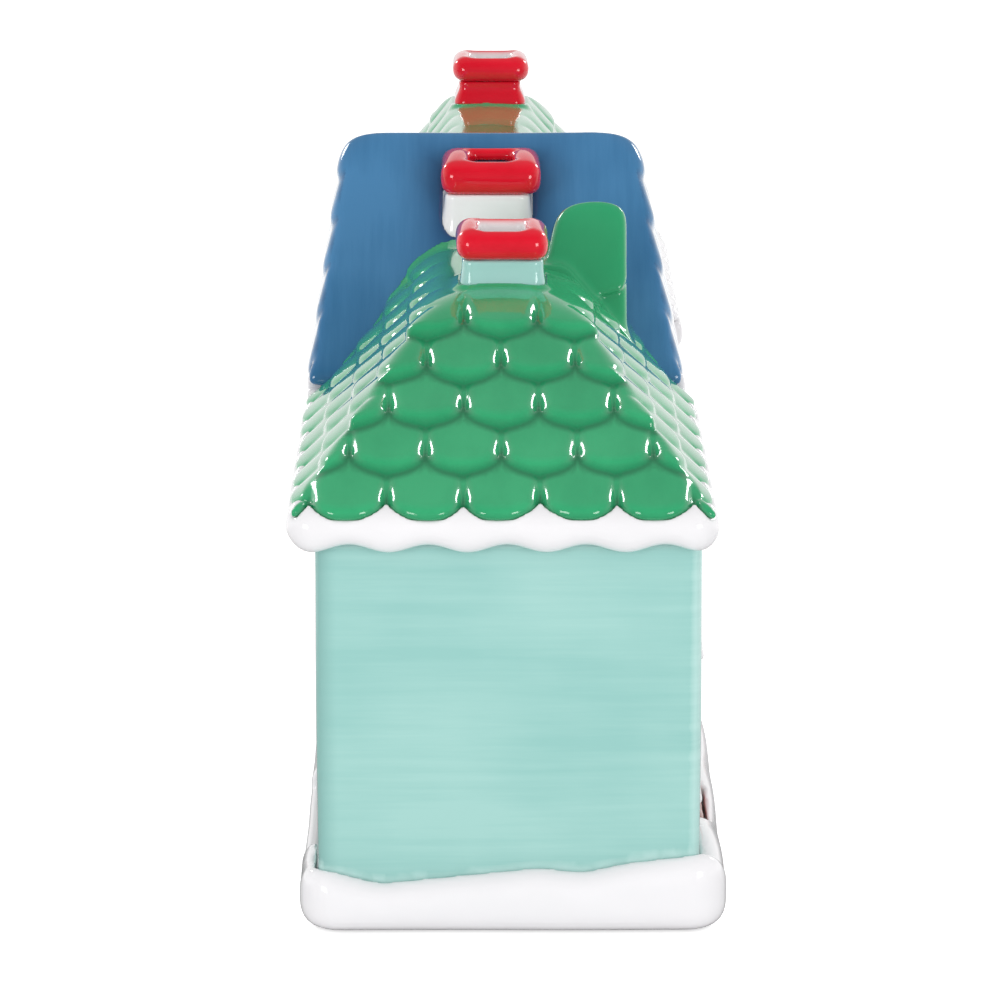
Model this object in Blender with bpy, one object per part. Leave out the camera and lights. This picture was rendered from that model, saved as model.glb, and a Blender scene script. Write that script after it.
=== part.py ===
"""Christmas village tealight holder: three glazed ceramic houses in a row on a bank of snow.

Metres, +Z up. The row runs along X with the teal house at -X. The house fronts face -Y,
and the tealights go in through arches at the back, +Y. The origin is under the base's middle.
"""
import math
from collections import namedtuple

import bmesh
import bpy
from mathutils import Matrix, Vector

MM = 0.001
GAP = 0.3 * MM

# Base
BASE_LENGTH = 259 * MM
FLOOR_Z = 6 * MM
BANK_INSET = 3.5 * MM
BANK_MARGIN = 4.5 * MM
BANK_SKEW = 1.0 * MM
BANK_HEIGHT = 11.5 * MM
BANK_WAVE = 0.66 * MM
BANK_BLEND = 8 * MM
# Snow against the teal end wall: y, height
END_BANK = (
    (-33.7 * MM, 15.1 * MM),
    (-21.5 * MM, 13.6 * MM),
    (-14.0 * MM, 11.8 * MM),
    (-5.5 * MM, 12.7 * MM),
    (10.5 * MM, 11.1 * MM),
    (24.0 * MM, 9.7 * MM),
    (35.5 * MM, 12.8 * MM),
)

# Walls
WALL_HALF_DEPTH = 35.5 * MM
WALL_THICKNESS = 4 * MM
WALL_CORNER = 2.5 * MM
END_WALL_X = 125 * MM
PARTY_X = 38.9 * MM
END_WALL_TOP = 74.2 * MM
MIDDLE_WALL_TOP = 80 * MM

# Snow along the eaves
EAVE_THICKNESS = 4.7 * MM
MIDDLE_EAVE_THICKNESS = 3.0 * MM
EAVE_OVERHANG = 4.1 * MM
EAVE_END_OVERHANG = 5.5 * MM
EAVE_SHIFT = 1.4 * MM
EAVE_WAVE = 0.6 * MM
EAVE_WAVE_LENGTH = 2.3 * MM
EAVE_DROOP = 0.9 * MM

# Roofs; each shift moves a line of the roof towards the back
ROOF_SHIFT = 1.0 * MM
MIDDLE_EAVE_SHIFT = 2.0 * MM
HIGH_RIDGE_SHIFT = 3.2 * MM
SHELL = 4 * MM
EAVE_HALF_DEPTH = 38.5 * MM
HIP_RUN = 64.9 * MM
NEAR_RIDGE_Z = 109 * MM
NEAR_RIDGE_HALF = 11.6 * MM
REAR_RIDGE_Z = 125.4 * MM
REAR_RIDGE_HALF = 10 * MM
MIDDLE_RIDGE_Z = 128.2 * MM
MIDDLE_PITCH = math.radians(48)
MIDDLE_EAVE_HALF = 37.2 * MM
MIDDLE_RIDGE_HALF = 28.8 * MM

# Scalloped tiles
TILE_LIFT = 1.3 * MM
TILE_SINK = 0.15 * MM
TILE_BODY = 3 * MM
EAVE_TILE_BODY = 7 * MM
TILE_LAP = 1.2 * MM
TOP_COURSE_EXTRA = 0.2
BLOCK_DEPTH = 160 * MM
SCALLOP_STEPS = 5
HIP_TILE = (14 * MM, 6.3 * MM)
SIDE_TILE = (13 * MM, 4.2 * MM)
GABLE_TILE = (14 * MM, 4.5 * MM)
NEAR_COURSES = 5
GABLE_COURSES = 5
REAR_COURSES = 6

# Chimneys: ends in x, centre and half width in y, and the heights of their parts
Chimney = namedtuple("Chimney", "low_x high_x centre_y half_y base_z stack_z cap_z")
CHIMNEYS = {
    "near": Chimney(
        -62.5 * MM, -50 * MM, 1 * MM, 8 * MM, 109.3 * MM, 113.9 * MM, 120 * MM
    ),
    "middle": Chimney(
        -17 * MM, -3.2 * MM, 3 * MM, 9.2 * MM, 109.3 * MM, 118.1 * MM, 125 * MM
    ),
    "rear": Chimney(
        48.6 * MM, 61.5 * MM, 3 * MM, 7.2 * MM, 125.7 * MM, 130.3 * MM, 135.8 * MM
    ),
}
STACK_COLOURS = {"near": "teal", "middle": "white", "rear": "red"}
STACK_ROUND = 0.9 * MM
CAP_LIP = 0.6 * MM
CAP_ROUND = 1.7 * MM
FLUE_DEPTH = 7.6 * MM
FLUE_HALF_WIDTH = 4.2 * MM
FLUE_REACH = 14 * MM

# Dormer on the teal house
DORMER_X = -34.5 * MM
DORMER_TOP = 119.9 * MM
DORMER_FOOT_Z = 94 * MM
DORMER_HALF = 13.2 * MM
DORMER_FRONT = 24.8 * MM
DORMER_BACK_LOW = 9.5 * MM
DORMER_BACK_TOP = 13.5 * MM
DORMER_ROUND = 1.2 * MM
PANE_RADIUS = 3.2 * MM
PANE_HALF = 0.5 * MM
PANE_Z = 107 * MM
PANE_SHIFT = 1.5 * MM

# Doors, windows and arches
DOOR_WIDTH = 15 * MM
DOOR_HEIGHT = 29 * MM
REAR_DOOR_OFFSET = 20 * MM
DOOR_THICKNESS = 1.4 * MM
DOOR_RECESS = 1.5 * MM
DOOR_BORDER = 2 * MM
PANEL_DEPTH = 0.5 * MM
DOOR_COLOURS = {"near": "red", "middle": "blue", "rear": "green"}
STEP_WIDTH = 19 * MM
STEP_DEPTH = 2.4 * MM
STEP_TOP = 10.5 * MM
STEP_BOTTOM = 7 * MM
WINDOW_WIDTH = 12 * MM
WINDOW_HEIGHT = 16 * MM
WINDOW_SPREAD = 25 * MM
MIDDLE_SPREAD = 22 * MM
LOWER_SILL = 23 * MM
UPPER_SILL = 51 * MM
FRAME_BORDER = 2 * MM
FRAME_THICKNESS = 0.9 * MM
FRAME_RECESS = 1.0 * MM
SILL_DEPTH = 1.5 * MM
ARCH_WIDTH = 47 * MM
ARCH_SPRING = 31 * MM
WREATH_RADIUS = 3.8 * MM
WREATH_TUBE = 0.9 * MM
WREATH_SIDES = 6

# Tealight
CUP_RADIUS = 19 * MM
CUP_HEIGHT = 15 * MM
CUP_WALL = 0.5 * MM
WAX_HEIGHT = 12 * MM
TAB_RADIUS = 6 * MM
TAB_THICKNESS = 0.6 * MM
TAB_NECK_HEIGHT = 3 * MM
NECK_WALL = 0.5 * MM
WICK_RADIUS = 0.8 * MM
WICK_RISE = 3 * MM

HOUSE_CENTRE = {
    "near": -(END_WALL_X + PARTY_X) / 2,
    "middle": 0.0,
    "rear": (END_WALL_X + PARTY_X) / 2,
}

COLOURS = {
    "snow": ((0.90, 0.90, 0.91), 0.12, 0.0),
    "teal": ((0.39, 0.69, 0.64), 0.12, 0.0),
    "white": ((0.87, 0.87, 0.88), 0.12, 0.0),
    "red": ((0.72, 0.02, 0.035), 0.10, 0.0),
    "green": ((0.06, 0.39, 0.16), 0.10, 0.0),
    "blue": ((0.06, 0.20, 0.38), 0.12, 0.0),
    "brick": ((0.32, 0.08, 0.05), 0.20, 0.0),
    "aluminium": ((0.80, 0.81, 0.82), 0.30, 1.0),
    "wax": ((0.90, 0.88, 0.80), 0.45, 0.0),
    "wick": ((0.82, 0.79, 0.70), 0.90, 0.0),
    "tin": ((0.60, 0.61, 0.62), 0.40, 1.0),
}


# Scene, materials and objects
def clear_scene():
    for item in list(bpy.data.objects):
        bpy.data.objects.remove(item, do_unlink=True)


def glaze(node, colour_name):
    """A material of the node's own, in one of the named colours."""
    colour, roughness, metallic = COLOURS[colour_name]
    material = bpy.data.materials.new(node)
    material.use_nodes = True
    shader = material.node_tree.nodes["Principled BSDF"]
    shader.inputs["Base Color"].default_value = (*colour, 1.0)
    shader.inputs["Roughness"].default_value = roughness
    shader.inputs["Metallic"].default_value = metallic
    material.diffuse_color = (*colour, 1.0)
    return material


def make_object(name, bm, colour_name=None, smooth_angle=None):
    """Turns a bmesh into an object; one without a colour is a tool for a Boolean."""
    bmesh.ops.remove_doubles(bm, verts=bm.verts, dist=0.002 * MM)
    bmesh.ops.recalc_face_normals(bm, faces=bm.faces)
    mesh = bpy.data.meshes.new(name)
    bm.to_mesh(mesh)
    bm.free()
    item = bpy.data.objects.new(name, mesh)
    bpy.context.scene.collection.objects.link(item)
    if colour_name:
        mesh.materials.append(glaze(name, colour_name))
    if smooth_angle:
        mesh.shade_smooth()
        mesh.set_sharp_from_angle(angle=math.radians(smooth_angle))
    return item


def apply_modifiers(item):
    """Makes the evaluated mesh the object's own and removes its modifiers."""
    bpy.context.view_layer.update()
    graph = bpy.context.evaluated_depsgraph_get()
    mesh = bpy.data.meshes.new_from_object(item.evaluated_get(graph))
    item.modifiers.clear()
    item.data = mesh


def combine(item, tools, operation="DIFFERENCE"):
    """Applies one exact Boolean for each tool, then removes the tools."""
    for tool in tools:
        step = item.modifiers.new(tool.name, "BOOLEAN")
        step.operation = operation
        step.solver = "EXACT"
        step.object = tool
    apply_modifiers(item)
    for tool in tools:
        bpy.data.objects.remove(tool, do_unlink=True)
    return item


def round_edges(item, width, segments=3, limit_angle=30):
    bevel = item.modifiers.new("rounding", "BEVEL")
    bevel.width = width
    bevel.segments = segments
    bevel.limit_method = "ANGLE"
    bevel.angle_limit = math.radians(limit_angle)
    apply_modifiers(item)


# Plain solids
def box(low, high):
    bm = bmesh.new()
    bmesh.ops.create_cube(bm, size=1.0)
    low, high = Vector(low), Vector(high)
    for vertex in bm.verts:
        vertex.co = Vector(
            low[i] if vertex.co[i] < 0 else high[i] for i in range(3)
        )
    return bm


def prism(outline, across, low, high):
    """Extrudes a closed outline along Y (outline in x, z) or along X (outline in y, z)."""
    def place(point, depth):
        first, second = point
        if across == "Y":
            return Vector((first, depth, second))
        return Vector((depth, first, second))

    bm = bmesh.new()
    rings = [[bm.verts.new(place(p, depth)) for p in outline] for depth in (low, high)]
    bm.faces.new(rings[0])
    bm.faces.new(rings[1])
    count = len(outline)
    for i in range(count):
        j = (i + 1) % count
        bm.faces.new((rings[0][i], rings[0][j], rings[1][j], rings[1][i]))
    return bm


def keep_side(bm, point, normal):
    """Cuts a closed bmesh with a plane and keeps the side the normal points away from."""
    geometry = bm.verts[:] + bm.edges[:] + bm.faces[:]
    bmesh.ops.bisect_plane(
        bm, geom=geometry, dist=0.0001 * MM, plane_co=point, plane_no=normal, clear_outer=True
    )
    open_edges = [edge for edge in bm.edges if edge.is_boundary]
    bmesh.ops.holes_fill(bm, edges=open_edges, sides=0)


def turned(profile, centre, steps):
    """Spins a profile of (radius, z) points round a vertical axis; radius 0 closes on it."""
    bm = bmesh.new()
    rings = []
    for radius, z in profile:
        if radius == 0:
            rings.append([bm.verts.new((centre[0], centre[1], z))] * steps)
            continue
        ring = []
        for i in range(steps):
            angle = 2 * math.pi * i / steps
            x = centre[0] + radius * math.cos(angle)
            y = centre[1] + radius * math.sin(angle)
            ring.append(bm.verts.new((x, y, z)))
        rings.append(ring)
    pairs = list(zip(rings, rings[1:]))
    if profile[0][0] > 0 and profile[-1][0] > 0:
        pairs.append((rings[-1], rings[0]))
    for lower, upper in pairs:
        for i in range(steps):
            j = (i + 1) % steps
            corners = []
            for vertex in (lower[i], lower[j], upper[j], upper[i]):
                if vertex not in corners:
                    corners.append(vertex)
            bm.faces.new(corners)
    return bm


def stand_up(bm, centre):
    """Turns a bmesh's vertical axis to face the front and moves it to a centre."""
    bmesh.ops.transform(bm, matrix=Matrix.Rotation(math.radians(90), 4, "X"), verts=bm.verts)
    bmesh.ops.translate(bm, vec=centre, verts=bm.verts)


# Rings that follow a rounded rectangle
def perimeter(x_low, x_high, half_depth, radius, step):
    """Stations round a rounded rectangle: position, outward normal, distance run."""
    corners = (
        (x_high - radius, half_depth - radius, 0.0),
        (x_low + radius, half_depth - radius, 90.0),
        (x_low + radius, -half_depth + radius, 180.0),
        (x_high - radius, -half_depth + radius, 270.0),
    )
    turns = 4
    points = []
    for centre_x, centre_y, start in corners:
        for i in range(turns + 1):
            angle = math.radians(start + 90.0 * i / turns)
            normal = Vector((math.cos(angle), math.sin(angle)))
            points.append((Vector((centre_x, centre_y)) + normal * radius, normal))
    stations = []
    run = 0.0
    for (here, normal), (there, _) in zip(points, points[1:] + points[:1]):
        length = (there - here).length
        count = max(1, round(length / step))
        for i in range(count):
            part = i / count
            stations.append((here.lerp(there, part), normal, run + length * part))
        run += length
    return stations


def clamp(value, low, high):
    return min(max(value, low), high)


def ring(stations, profile, room=None, limits=None):
    """Joins the profile's (offset, z) points station by station round the path.

    With room, a rectangle (x low, x high, half depth), the profile closes on itself and its
    points with no offset lie on the room's edge. Without it, the first and last loops are
    closed by flat faces. limits keeps the ring between two x values.
    """
    bm = bmesh.new()
    loops = []
    for place, normal, run in stations:
        loop = []
        for offset, z in profile(place, normal, run):
            if offset is None:
                x = clamp(place.x, room[0], room[1])
                y = clamp(place.y, -room[2], room[2])
            else:
                x, y = place + normal * offset
            if limits:
                x = clamp(x, *limits)
            loop.append(bm.verts.new((x, y, z)))
        loops.append(loop)
    count = len(loops)
    size = len(loops[0])
    span = size if room else size - 1
    for i in range(count):
        j = (i + 1) % count
        for k in range(span):
            m = (k + 1) % size
            bm.faces.new((loops[i][k], loops[j][k], loops[j][m], loops[i][m]))
    if not room:
        bm.faces.new([loop[0] for loop in loops])
        bm.faces.new([loop[-1] for loop in loops])
    return bm


# Snow base
def end_bank_height(y):
    """Height of the snow against the teal end wall, smoothed between its set points."""
    y = clamp(y, END_BANK[0][0], END_BANK[-1][0])
    for (low_y, low_z), (high_y, high_z) in zip(END_BANK, END_BANK[1:]):
        if y <= high_y:
            part = (y - low_y) / (high_y - low_y)
            return low_z + (high_z - low_z) * part * part * (3 - 2 * part)
    return END_BANK[-1][1]


def bank_height(place, run):
    """Height of the snow against the walls, in low waves that meet the drift at the teal end."""
    wave = math.cos(run / (6.4 * MM)) + 0.6 * math.cos(run / (9.1 * MM) + 1.0)
    plain = BANK_HEIGHT + BANK_WAVE * wave
    blend = clamp((-END_WALL_X + BANK_BLEND - place.x) / BANK_BLEND, 0.0, 1.0)
    return plain + (end_bank_height(place.y) - plain) * blend


def make_base():
    length = BASE_LENGTH / 2 - BANK_MARGIN
    stations = perimeter(-length, length, WALL_HALF_DEPTH, WALL_CORNER + GAP, 7 * MM)

    def profile(place, normal, run):
        margin = BANK_MARGIN - BANK_SKEW * normal.y
        height = bank_height(place, run)
        return (
            (margin - BANK_INSET, 0.0),
            (margin - 1.2 * MM, 1.0 * MM),
            (margin, 4.0 * MM),
            (margin, height - 4.2 * MM),
            (margin - 0.9 * MM, height - 1.9 * MM),
            (margin - 2.4 * MM, height - 0.4 * MM),
            (GAP, height),
            (GAP, FLOOR_Z),
        )

    base = make_object("snow_base", ring(stations, profile), "snow")
    tools = []
    for centre in HOUSE_CENTRE.values():
        half = ARCH_WIDTH / 2 + 1 * MM
        low = (centre - half, WALL_HALF_DEPTH - 1 * MM, FLOOR_Z)
        high = (centre + half, WALL_HALF_DEPTH + 20 * MM, 30 * MM)
        tools.append(make_object("sill_cut", box(low, high)))
    for centre in door_places().values():
        half = STEP_WIDTH / 2 + GAP
        back = -WALL_HALF_DEPTH + 1 * MM
        low = (centre - half, -WALL_HALF_DEPTH - STEP_DEPTH - GAP, STEP_BOTTOM - GAP)
        tools.append(make_object("step_cut", box(low, (centre + half, back, 30 * MM))))
    combine(base, tools)


# Walls
def arch_outline(centre, width, bottom, spring, steps=12):
    """Outline in x, z of an opening with upright sides and a half-round head."""
    radius = width / 2
    points = [(centre - radius, bottom), (centre + radius, bottom)]
    for i in range(steps + 1):
        angle = math.pi * i / steps
        points.append((centre + radius * math.cos(angle), spring + radius * math.sin(angle)))
    return points


def make_walls(house, x_low, x_high, top, colour_name):
    low = (x_low, -WALL_HALF_DEPTH, FLOOR_Z + GAP)
    high = (x_high, WALL_HALF_DEPTH, top)
    bm = box(low, high)
    upright = [e for e in bm.edges if abs(e.verts[0].co.z - e.verts[1].co.z) > 1 * MM]
    bmesh.ops.bevel(
        bm, geom=upright, offset=WALL_CORNER, segments=3, profile=0.5, affect="EDGES"
    )
    walls = make_object("walls_" + house, bm, colour_name)
    inner_low = (x_low + WALL_THICKNESS, -WALL_HALF_DEPTH + WALL_THICKNESS, 0.0)
    inner_high = (x_high - WALL_THICKNESS, WALL_HALF_DEPTH - WALL_THICKNESS, 2 * top)
    tools = [make_object("room", box(inner_low, inner_high))]
    outline = arch_outline(HOUSE_CENTRE[house], ARCH_WIDTH, 0.0, ARCH_SPRING)
    rear_low = WALL_HALF_DEPTH - WALL_THICKNESS - 2 * MM
    rear_high = WALL_HALF_DEPTH + 2 * MM
    tools.append(make_object("arch", prism(outline, "Y", rear_low, rear_high)))
    for centre, sill in window_places()[house].values():
        half = WINDOW_WIDTH / 2
        low = (centre - half, -WALL_HALF_DEPTH - 2 * MM, sill)
        high = (centre + half, -WALL_HALF_DEPTH + WALL_THICKNESS + 2 * MM, sill + WINDOW_HEIGHT)
        tools.append(make_object("window_cut", box(low, high)))
        edge = FRAME_BORDER + GAP
        low = (low[0] - edge, low[1], low[2] - edge)
        high = (high[0] + edge, -WALL_HALF_DEPTH + FRAME_RECESS, high[2] + edge)
        tools.append(make_object("frame_recess", box(low, high)))
    outline = door_outline(door_places()[house], GAP)
    recess = prism(outline, "Y", low[1], -WALL_HALF_DEPTH + DOOR_RECESS)
    tools.append(make_object("door_recess", recess))
    combine(walls, tools)


def make_eaves(house, x_low, x_high, wall_top, thickness, free_low=False, free_high=False):
    """The roll of snow between a house's walls and its roof; returns the roof's lowest z."""
    stations = perimeter(x_low, x_high, WALL_HALF_DEPTH, WALL_CORNER, 5 * MM)
    room_half_depth = WALL_HALF_DEPTH - WALL_THICKNESS
    room = (x_low + WALL_THICKNESS, x_high - WALL_THICKNESS, room_half_depth)
    bottom = wall_top + GAP
    top = bottom + thickness

    def profile(place, normal, run):
        free_end = (free_low and normal.x < 0) or (free_high and normal.x > 0)
        reach = EAVE_OVERHANG + EAVE_SHIFT * normal.y
        turn = abs(normal.x)
        if free_end:
            reach += (EAVE_END_OVERHANG - reach) * turn
        hem = bottom
        if free_end or turn < 0.1:
            hem += EAVE_WAVE * math.cos(run / EAVE_WAVE_LENGTH + 0.8) - EAVE_DROOP
        return (
            (None, top),
            (reach - 1.6 * MM, top),
            (reach - 0.4 * MM, top - 0.21 * thickness),
            (reach, top - 0.55 * thickness),
            (reach - 0.5 * MM, hem + 0.17 * thickness),
            (reach - 1.7 * MM, hem),
            (GAP, bottom),
            (None, bottom),
        )

    limits = (-1.0 if free_low else x_low, 1.0 if free_high else x_high)
    bm = ring(stations, profile, room, limits)
    bmesh.ops.remove_doubles(bm, verts=bm.verts, dist=0.01 * MM)
    bmesh.ops.dissolve_degenerate(bm, edges=bm.edges, dist=0.01 * MM)
    make_object("snow_eaves_" + house, bm, "snow")
    return top + GAP


# Tiled roofs
class Slope:
    """A roof plane: a point on its eave, the directions along and up it, and its length."""

    def __init__(self, eave, along, ridge):
        self.origin = Vector(eave)
        self.along = Vector(along)
        rise = Vector(ridge) - self.origin
        self.length = rise.length
        self.up = rise.normalized()
        self.normal = self.along.cross(self.up).normalized()
        if self.normal.z < 0:
            self.normal.negate()

    def point(self, along, up, out):
        return self.origin + self.along * along + self.up * up + self.normal * out


def tile_course(slope, bottom, reach, tile, half_length, staggered, body):
    """One course of tiles as a thin wedge, its lower edge cut into scallops."""
    width, depth = tile
    count = math.ceil(half_length / width) + 1
    start = -count - (0.5 if staggered else 0.0)
    edge = []
    for i in range(2 * count + 1):
        centre = (start + 0.5 + i) * width
        for j in range(SCALLOP_STEPS):
            angle = math.pi + math.pi * j / SCALLOP_STEPS
            along = centre + width / 2 * math.cos(angle)
            edge.append((along, bottom + depth * (1 + math.sin(angle))))
    edge.append((edge[-1][0] + width, bottom + reach))
    edge.append((edge[0][0], bottom + reach))
    bm = bmesh.new()
    upper = []
    lower = []
    for along, up in edge:
        lift = TILE_LIFT - (TILE_LIFT + TILE_SINK) * (up - bottom) / reach
        upper.append(bm.verts.new(slope.point(along, up, lift)))
        lower.append(bm.verts.new(slope.point(along, up, -body)))
    bm.faces.new(upper)
    bm.faces.new(lower)
    for i in range(len(edge)):
        j = (i + 1) % len(edge)
        bm.faces.new((upper[i], upper[j], lower[j], lower[i]))
    return bm


def tiled_block(name, slope, courses, tile, half_length):
    """A deep block under one roof slope, covered with its courses of tiles."""
    bm = bmesh.new()
    bmesh.ops.create_cube(bm, size=1.0)
    half = half_length + 3.3 * tile[0]
    low = (-half, tile[1] + 1 * MM, -BLOCK_DEPTH)
    high = (half, slope.length + BLOCK_DEPTH, 0.0)
    for vertex in bm.verts:
        place = [low[i] if vertex.co[i] < 0 else high[i] for i in range(3)]
        vertex.co = slope.point(*place)
    block = make_object(name, bm)
    pitch = slope.length / (courses + TOP_COURSE_EXTRA)
    tools = []
    for k in range(courses):
        last = k == courses - 1
        reach = pitch * (1 + TOP_COURSE_EXTRA) if last else pitch + tile[1] + TILE_LAP
        body = EAVE_TILE_BODY if k == 0 else TILE_BODY
        course = tile_course(slope, k * pitch, reach, tile, half_length, k % 2 == 0, body)
        tools.append(make_object(f"{name}_{k}", course))
    return combine(block, tools, "UNION")


def trim(item, cuts):
    """Cuts a closed object with planes, each a point and the normal of the side that goes."""
    bm = bmesh.new()
    bm.from_mesh(item.data)
    for point, normal in cuts:
        keep_side(bm, point, normal)
    bm.to_mesh(item.data)
    bm.free()


def planes_solid(low, high, planes):
    """A box trimmed by planes, each a point and an outward normal."""
    bm = box(low, high)
    for point, normal in planes:
        keep_side(bm, point, normal)
    return bm


def middle_outline(grow):
    """Outline in x, z of the middle house, grown by a clearance; its slopes are the blue roof."""
    half = PARTY_X - GAP + grow
    ridge = MIDDLE_RIDGE_Z + grow / math.cos(MIDDLE_PITCH)
    eave = ridge - half * math.tan(MIDDLE_PITCH)
    return [(-half, 60 * MM), (half, 60 * MM), (half, eave), (0.0, ridge), (-half, eave)]


def make_end_roof(house, side, ridge, courses, floor_z):
    """A hipped, tiled roof for the house at one end of the row; built at -X, then mirrored.

    ridge gives the ridge's height, its half width and its centre in y.
    """
    ridge_z, ridge_half, ridge_y = ridge
    end_x = -BASE_LENGTH / 2
    hip_x = end_x + HIP_RUN
    mid_x = end_x / 2
    hip = Slope((end_x, ROOF_SHIFT, floor_z), (0, -1, 0), (hip_x, ROOF_SHIFT, ridge_z))
    sides = []
    for sign in (-1, 1):
        eave = (mid_x, ROOF_SHIFT + sign * EAVE_HALF_DEPTH, floor_z)
        peak = (mid_x, ridge_y + sign * ridge_half, ridge_z)
        sides.append(Slope(eave, (-sign, 0, 0), peak))
    slopes = [hip] + sides
    up = Vector((0, 0, 1))

    roof = tiled_block("roof_" + house, hip, courses, HIP_TILE, 1.5 * EAVE_HALF_DEPTH)
    blocks = [
        tiled_block(f"slope_{i}", slope, courses, SIDE_TILE, BASE_LENGTH / 3)
        for i, slope in enumerate(sides)
    ]
    combine(roof, blocks, "INTERSECT")
    trim(roof, [(Vector((0, 0, ridge_z)), up), (Vector((0, 0, floor_z)), -up)])
    neighbour = make_object("neighbour", prism(middle_outline(GAP), "Y", -0.1, 0.1))
    combine(roof, [neighbour])
    trim(roof, [(Vector((0, 0, 0)), Vector((1, 0, 0)))])

    inner = [(slope.origin - slope.normal * SHELL, slope.normal) for slope in slopes]
    inner.append((Vector((0, 0, ridge_z - SHELL)), up))
    valley = Vector((math.sin(MIDDLE_PITCH), 0, -math.cos(MIDDLE_PITCH)))
    above_valley = (Vector((0, 0, MIDDLE_RIDGE_Z)) - valley * (SHELL + GAP), valley)
    inner_y = WALL_HALF_DEPTH - WALL_THICKNESS
    inner_low = (end_x, -inner_y, floor_z - 5 * MM)
    inner_high = (-PARTY_X - WALL_THICKNESS, inner_y, ridge_z)
    attic = make_object("attic", planes_solid(inner_low, inner_high, inner))
    end_low = (inner_high[0] - 5 * MM, -inner_y, floor_z + 1 * MM)
    end_high = (0.0, inner_y, ridge_z)
    attic_end = planes_solid(end_low, end_high, inner + [above_valley])
    combine(roof, [attic, make_object("attic_end", attic_end)])
    if side > 0:
        roof.data.transform(Matrix.Scale(-1, 4, (1, 0, 0)))
        roof.data.flip_normals()
    combine(roof, [flue_tool(CHIMNEYS[house])])
    roof.data.materials.clear()
    roof.data.materials.append(glaze(roof.name, "green"))
    return sides[0]


def make_middle_roof(floor_z):
    """The blue roof: smooth slopes to both ends, tiled faces to the front and the back."""
    half = PARTY_X - GAP
    ridge = Vector((0, HIGH_RIDGE_SHIFT, MIDDLE_RIDGE_Z))
    rise = math.cos(MIDDLE_PITCH)
    cuts = [(ridge, Vector((sign * math.sin(MIDDLE_PITCH), 0, rise))) for sign in (-1, 1)]
    cuts += [(Vector((sign * half, 0, 0)), Vector((sign, 0, 0))) for sign in (-1, 1)]
    cuts.append((Vector((0, 0, floor_z)), Vector((0, 0, -1))))
    faces = []
    for sign in (-1, 1):
        eave = (0.0, MIDDLE_EAVE_SHIFT + sign * MIDDLE_EAVE_HALF, floor_z)
        peak = (0.0, HIGH_RIDGE_SHIFT + sign * MIDDLE_RIDGE_HALF, MIDDLE_RIDGE_Z)
        faces.append(Slope(eave, (-sign, 0, 0), peak))
    roof = tiled_block("roof_middle", faces[0], GABLE_COURSES, GABLE_TILE, half)
    combine(roof, [tiled_block("gable", faces[1], GABLE_COURSES, GABLE_TILE, half)], "INTERSECT")
    trim(roof, cuts)
    inner = [(point - normal * SHELL, normal) for point, normal in cuts[:2]]
    inner += [(face.origin - face.normal * SHELL, face.normal) for face in faces]
    inner_half = half - WALL_THICKNESS
    inner_y = WALL_HALF_DEPTH - WALL_THICKNESS
    inner_low = (-inner_half, -inner_y, floor_z - 5 * MM)
    hollow = planes_solid(inner_low, (inner_half, inner_y, MIDDLE_RIDGE_Z), inner)
    combine(roof, [make_object("hollow", hollow), flue_tool(CHIMNEYS["middle"])])
    roof.data.materials.clear()
    roof.data.materials.append(glaze(roof.name, "blue"))


# Chimneys
def flue_tool(chimney):
    """The upright square flue through a chimney and the roof below it."""
    centre = (chimney.low_x + chimney.high_x) / 2
    low_z = chimney.base_z - FLUE_REACH
    low = (centre - FLUE_DEPTH / 2, chimney.centre_y - FLUE_HALF_WIDTH, low_z)
    high_z = chimney.cap_z + FLUE_REACH
    high = (centre + FLUE_DEPTH / 2, chimney.centre_y + FLUE_HALF_WIDTH, high_z)
    return make_object("flue", box(low, high))


def make_chimney(house):
    chimney = CHIMNEYS[house]
    low_y = chimney.centre_y - chimney.half_y
    high_y = chimney.centre_y + chimney.half_y
    low = (chimney.low_x, low_y, chimney.base_z)
    high = (chimney.high_x, high_y, chimney.stack_z)
    stack = make_object("chimney_stack_" + house, box(low, high), STACK_COLOURS[house])
    round_edges(stack, STACK_ROUND, 2)
    low = (chimney.low_x - CAP_LIP, low_y - CAP_LIP, chimney.stack_z + GAP)
    high = (chimney.high_x + CAP_LIP, high_y + CAP_LIP, chimney.cap_z)
    cap = make_object("chimney_cap_" + house, box(low, high), "red")
    round_edges(cap, CAP_ROUND, 3)
    for item in (stack, cap):
        tools = [flue_tool(chimney)]
        if house == "middle":
            outline = middle_outline(2 * GAP)
            tools.append(make_object("slope_cut", prism(outline, "Y", -0.1, 0.1)))
        combine(item, tools)


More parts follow.
